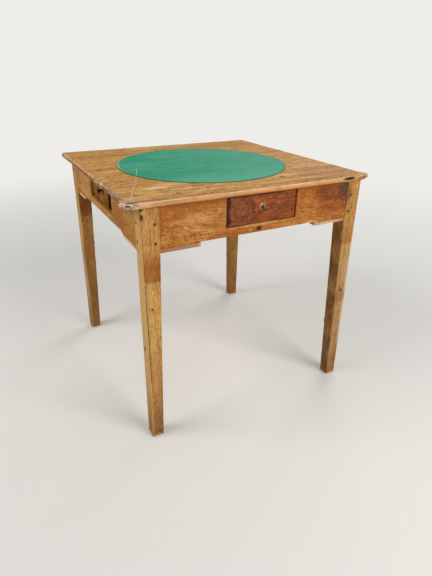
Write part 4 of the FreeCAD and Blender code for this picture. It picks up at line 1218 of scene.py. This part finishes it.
def front_apron_wood():
    knots = [((-287.6, -374, 666.5), 3.2, 0.45), ((-278, -374, 664.5), 2.8, 0.4), ((-130.6, -374, 683), 2.5),
             ((-9.4, -374, 624.3), 7.2, 0.95)]
    quirk, ear = (92, 46, 20), (168, 126, 108)
    # A real stain on the front apron's upper right, deepened with painted shadow from the top's overhang
    marks = [stain((262, -374, 706), (85, 10, 46), (104, 52, 26), 0.62, 1.1, (40, 30, 110)),
             stain((262, -374, 655), (70, 10, 20), (128, 66, 30), 0.35, 1.2, (40, 30, 110)),
             tint((224, -374, 698), (56, 10, 40), (132, 62, 34), 0.75, 1, (40, 30, 60)),
             tint((234, -374, 648), (30, 10, 30), (138, 66, 32), 0.6, 1, (60, 30, 60)),
             stain((290, -374, 710), (30, 10, 26), (96, 68, 54), 0.72, 1, (90, 30, 90)),
             stain((292, -374, 700), (28, 10, 36), (70, 48, 36), 0.6, 1, (190, 30, 190), patchy=True),
             stain((304, -374, 684), (14, 10, 54), GREY_BROWN, 0.65, 1, (130, 30, 130), patchy=True),
             stain((250, -374, 700), (30, 10, 16), (176, 98, 66), 0.4, 1.4, (60, 30, 240), patchy=True),
             stain((-9.4, -374, 624.3), (12.5, 10, 10), (146, 84, 40), 0.6),
             stain((-295, -374, 640), (24, 10, 26), (206, 146, 78), 0.6, 1.6, (150, 60, 150)),
             stain((-292, -374, 637), (30, 10, 30), (136, 80, 34), 0.65, 1, (170, 60, 170), patchy=True),
             stain((-306, -374, 690), (8, 10, 50), (150, 84, 36), 0.6, 0.9),
             stain((-230, -374, 606.5), (90, 20, 6.8), ear, 0.75, 0.4),
             stain((250, -374, 604.5), (65, 20, 5.2), (212, 184, 150), 0.75, 0.4),
             # Painted highlight on the right ear's ogee
             stain((176, -374, 615), (22, 20, 8), (204, 178, 118), 0.55, 0.8),
             tint((-270, -374, 700), (50, 10, 30), (172, 100, 40), 0.6, 1.2, (60, 30, 90)),
             tint((-175, -374, 660), (100, 10, 60), (232, 172, 104), 0.55, 1, (40, 30, 60)),
             tint((260, -374, 665), (90, 10, 70), (182, 106, 46), 0.8, 1, (40, 30, 60)),
             # Painted light: the right ear's end, which faces away from the lamps, made pale
             stain((195, -374, 608.5), (16, 30, 10), (222, 190, 140), 0.4, 0.7),
             stain((-195, -374, 606), (6, 20, 8), (196, 178, 160), 0.8, 0.3),
             # Painted shadow of the top: darker bands along the front apron just under the nosing
             stain((-200, -374, 721.5), (140, 20, 10), (152, 80, 28), 0.5, 0.7),
             stain((200, -374, 721.5), (140, 20, 7), (152, 80, 28), 0.45, 0.7),
             stain((0, -374, 636), (130, 10, 4.2), (222, 170, 112), 0.5, 1.2, (50, 30, 120))]
    lines = [scratch((-310, -374, 614.5), (-196, -374, 612.5), quirk, 1.2, 0.9),
             scratch((-292, -374, 624), (-236, -374, 617), quirk, 0.8, 0.6),
             scratch((212, -374, 613), (310, -374, 614.5), quirk, 1.2, 0.85),
             scratch((-12.5, -374, 625.5), (-6.5, -374, 622.5), (34, 14, 6), 2.6, 0.9),
             scratch((-4, -374, 626.2), (18, -374, 627.5), (70, 30, 12), 1, 0.8),
             scratch((20, -374, 640), (75, -374, 637), (150, 62, 30), 1, 0.7),
             # Painted shade: a dark line along the gap under the drawer
             scratch((-120, -374, 645.5), (120, -374, 645.5), (70, 34, 16), 0.6, 0.8)]
    return wood("front_apron_wood", APRON, "X", (-0.338, 0.598), slope=0.42, lean=(0, 0.10), spacing=0.0043,
                wild=0.014, knots=knots, stains=marks, scratches=lines)


def build_aprons():
    woods = {
        "front": front_apron_wood(),
        "left": wood("left_apron_wood", SIDE_APRON, "Y", (-0.30, 0.64), slope=-0.02, spacing=0.0028,
                     knots=[((-356, 262, 650), 6, 0.6)],
                     stains=[stain((-356, 200, 660), (10, 90, 50), (196, 142, 72), 0.45, 0.8),
                             tint((-356, -190, 650), (20, 70, 60), (186, 104, 30), 0.7, 1.2, 60),
                             # Painted shadow of the top's overhang: a darker band along the left apron's top
                             stain((-356, 60, 720), (10, 260, 14), (118, 74, 40), 0.5, 0.9),
                             # Painted highlights: pale bands along the lower arrises of the left apron's ears
                             stain((-356, 245, 604.5), (20, 75, 5.5), (236, 204, 156), 0.75),
                             stain((-356, -245, 604.5), (20, 75, 4.5), (226, 186, 134), 0.6)],
                     scratches=[scratch((-356, 205, 612.5), (-356, 325, 614), (92, 54, 24), 1.3, 0.85)]),
        "right": wood("right_apron_wood", SIDE_APRON, "Y", (0.29, 0.61), slope=0.024, spacing=0.0030,
                      knots=[((356, 214, 690), 7), ((356, -250, 642), 5)],
                      stains=[stain((356, -220, 690), (10, 70, 30), (150, 84, 40), 0.5, 0.8)]),
        "back": wood("back_apron_wood", APRON, "X", (0.30, 0.66), slope=-0.025, lean=(0, -0.05),
                     spacing=0.0028, knots=[((222, 374, 688), 6), ((-262, 374, 655), 8)],
                     stains=[stain((-200, 374, 700), (70, 10, 20), (140, 80, 40), 0.5, 0.8)]),
    }
    for name, material in woods.items():
        eased(f"{name}_apron", 0.0011, material)


DRAWER_STAINS = {
    "front": [stain((-85, -370, 680), (65, 10, 90), (74, 36, 26), 0.6, 1.4, (90, 90, 70), patchy=True),
              stain((-72, -370, 685), (55, 10, 60), (158, 98, 72), 0.4, 1.4, (260, 60, 110), patchy=True),
              # Painted shadow of the left jamb: a dark band at the drawer front's left end
              stain((-120, -370, 680), (22, 10, 120), (48, 20, 12), 0.85, 1, (60, 90, 50)),
              # Painted shadow of the top: a dark band along the drawer front's top
              stain((-20, -370, 724), (140, 10, 8.5), (58, 24, 14), 0.75),
              stain((10, -370, 668), (30, 10, 10), (160, 66, 38), 0.45, 1.4),
              stain((105, -370, 664), (6, 10, 5), (52, 26, 14), 0.85, 0.4)],
    # Painted shadow in the recess: a near-black strip at the left drawer's front end, beside the near jamb
    "left": [stain((-350, -98, 670), (20, 58, 200), (34, 10, 4), 0.97, 0.6, (60, 26, 220)),
             # Painted shadow of the top: a dark band along the drawer front's top
             stain((-350, -10, 716), (20, 140, 20), (70, 44, 36), 0.75, 0.8),
             stain((-350, 20, 652), (20, 30, 12), (176, 116, 50), 0.5, 1)],
}
DRAWER_KNOTS = {"front": [((82, -370.26, 712), 4)], "left": [((-347, 50, 660), 5)],
                "right": [((347, 30, 700), 5)], "back": [((-50, 370, 660), 5)]}


def build_drawers():
    for number, (name, direction) in enumerate(SIDES.items()):
        drawer = f"{name}_drawer"
        grain_across, grain_inward = "XY" if direction.y else "YX"
        looks, shine = (TAN_BROWN, 0.0) if name == "left" else (RED_BROWN, 0.1)
        shown = wood(f"{drawer}_front_wood", looks, grain_across, (0.30, 0.66), slope=0.02, lean=(0, 0.04),
                     spacing=0.0024, wild=0.007, knots=DRAWER_KNOTS[name], stains=DRAWER_STAINS.get(name, ()),
                     rim=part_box(f"{drawer}_front"), shine=shine)
        plain = wood(f"{drawer}_raw_wood", RAW, grain_inward, (0.05 * number, 0.55), slope=0.015,
                     spacing=0.0036)
        crosswise = wood(f"{drawer}_back_wood", RAW, grain_across, (0.1, 0.6), slope=0.02, spacing=0.0034)
        for part, width, material in (("front", 0.0010, shown), ("left_side", 0.0007, plain),
                                      ("right_side", 0.0007, plain), ("back", 0.0006, crosswise),
                                      ("bottom", 0.0006, crosswise), ("nut", 0.0005, IRON)):
            eased(f"{drawer}_{part}", width, material)
        coated(f"{drawer}_nails", IRON)


RUNNERS = {"left_long_runner": "Y", "right_long_runner": "Y", "left_drawer_back_runner": "X",
           "left_drawer_front_runner": "X", "right_drawer_front_runner": "X", "right_drawer_back_runner": "X"}


def build_runners():
    woods = {grain: wood(f"runner_wood_{grain.lower()}", RAW, grain, (0.12, 0.56), slope=0.02, spacing=0.0035)
             for grain in "XY"}
    for node, grain in RUNNERS.items():
        eased(node, 0.0008, woods[grain])
    eased("drawer_stops", 0.0008, woods["X"])


IRON = metal("rusty_iron", tone(88, 66, 50), tone(104, 66, 40), tone(38, 26, 18), 0.65, 0.35)
OLD_BRASS = metal("tarnished_brass", tone(138, 118, 66), tone(84, 78, 52), tone(24, 24, 18), 0.34, 0.9)
# Painted shade: a darker copy of the brass, for the left drawer's knob and rosette alone
SHADED_BRASS = metal("brass_in_painted_shade", tone(70, 48, 34), tone(44, 30, 22), tone(16, 12, 10), 0.6, 0.5)
# The rosettes' brass is rubbed pale and made paler still as a painted highlight
RUBBED_AND_HIGHLIT_BRASS = metal("rubbed_brass_and_highlight", tone(232, 190, 144), tone(176, 134, 92), tone(70, 52, 30), 0.42, 0.6)

build_top()
build_legs()
build_pegs()
build_top_nails()
build_cloth()
build_knobs()
build_aprons()
build_drawers()
build_runners()

# Floor, light and camera

# The floor's rings, as shares of its radius, and how far it lies below the feet
FLOOR_RADIUS = 14.0
FLOOR_RINGS = (0.02, 0.2, 0.5, 1.0)
FLOOR_STEPS = 96
FLOOR_DROP = 0.0004
PAPER = tone(238, 237, 234)

# The distances between which the floor fades into even pale paper
PALE_FROM = (1.2, 3.6)


def seen_directly(shade):
    """1 for the camera and in mirrors and glass, and 0 for the light that falls on other things."""
    ray = shade.add("ShaderNodeLightPath").outputs
    camera, mirror, glass = [Signal(shade, ray[f"Is {kind} Ray"])
                             for kind in ("Camera", "Glossy", "Transmission")]
    return shade.math("MAXIMUM", camera, shade.math("MAXIMUM", mirror, glass))


def instead(shade, share, usual, shown):
    """One shader, and for a share of it another one."""
    return shade.read(0, "ShaderNodeMixShader", {0: share, 1: usual, 2: shown})


def build_stage():
    """A round pale floor that fades into pale surroundings, the same from every side."""
    profile = [(FLOOR_RADIUS * share, 0, 0) for share in FLOOR_RINGS]
    points, faces, _ = turned_points(profile, FLOOR_STEPS)
    mesh = bpy.data.meshes.new("studio_floor")
    mesh.from_pydata([tuple(point) for point in points], [], faces[:-1])
    floor = bpy.data.objects.new("studio_floor", mesh)
    floor.location.z = -FLOOR_DROP
    bpy.context.scene.collection.objects.link(floor)
    shade = new_finish("studio_paper")
    grains = shade.noise(shade.place, 300)
    colour = shade.mix(grains.ramp(0.3, 0.7), tone(226, 224, 220), tone(230, 228, 224))
    floor.data.materials.append(shade.finish(colour, 0.9, grains, bump=0.05, depth=0.0002))
    surface = Signal(shade, shade.output.inputs["Surface"].links[0].from_socket)
    share = seen_directly(shade) * shade.place.length().ramp(*PALE_FROM)
    paper = shade.read(0, "ShaderNodeEmission", {"Color": PAPER, "Strength": 1.0})
    shade.feed(shade.output.inputs["Surface"], instead(shade, share, surface, paper))


# Each lamp's place, what it looks at, its power and its colour
LAMP_WIDTH = 2.0
LAMPS = (("left_light", (-3.0, 0.25, 2.9), (0, 0, 0.55), 66, (1.0, 0.985, 0.96)),
         ("front_light", (1.2, -3.2, 2.6), (0, 0, 0.5), 86, (1.0, 0.985, 0.96)),
         ("back_light", (2.8, 1.9, 2.6), (0, 0, 0.6), 40, (1.0, 0.99, 0.97)))


def lamp(name, spot, target, power, colour):
    data = bpy.data.lights.new(name, "AREA")
    data.size = LAMP_WIDTH
    data.energy = power
    data.color = colour
    made = bpy.data.objects.new(name, data)
    made.location = spot
    made.rotation_euler = (Vector(target) - Vector(spot)).to_track_quat("-Z", "Y").to_euler()
    bpy.context.scene.collection.objects.link(made)


def build_light():
    world = bpy.data.worlds.new("studio_light")
    bpy.context.scene.world = world
    shade = Shading(world)
    light = shade.read(0, "ShaderNodeBackground", {"Color": (0.96, 0.98, 1.0, 1), "Strength": 0.35})
    paper = shade.read(0, "ShaderNodeBackground", {"Color": PAPER})
    shade.add("ShaderNodeOutputWorld", {"Surface": instead(shade, seen_directly(shade), light, paper)})
    for facts in LAMPS:
        lamp(*facts)


# The photographer's place, from the table's corners and edges as the picture shows them
IMAGE_HEIGHT_PX = 576
FOCAL_PX = 449.15
SENSOR_MM = 36
CAMERA_SPOT = Vector((-0.6975, -1.3823, 1.0405))
CAMERA_YAW = math.radians(28.702)
CAMERA_PITCH = math.radians(-26.598)
CAMERA_ROLL = math.radians(0.847)


def build_camera():
    forward = Vector((math.sin(CAMERA_YAW) * math.cos(CAMERA_PITCH),
                      math.cos(CAMERA_YAW) * math.cos(CAMERA_PITCH), math.sin(CAMERA_PITCH)))
    level = Vector((math.cos(CAMERA_YAW), -math.sin(CAMERA_YAW), 0))
    upright = level.cross(forward)
    right = level * math.cos(CAMERA_ROLL) + upright * math.sin(CAMERA_ROLL)
    up = upright * math.cos(CAMERA_ROLL) - level * math.sin(CAMERA_ROLL)
    data = bpy.data.cameras.new("photographer")
    data.sensor_fit = "VERTICAL"
    data.sensor_height = SENSOR_MM
    data.lens = FOCAL_PX / IMAGE_HEIGHT_PX * SENSOR_MM
    data.clip_end = 50
    camera = bpy.data.objects.new("photographer", data)
    turn = Matrix((right, up, -forward)).transposed().to_4x4()
    camera.matrix_world = Matrix.Translation(CAMERA_SPOT) @ turn
    bpy.context.scene.collection.objects.link(camera)
    bpy.context.scene.camera = camera


build_stage()
build_light()
build_camera()
bpy.context.scene.view_settings.view_transform = "Standard"

bpy.context.view_layer.update()
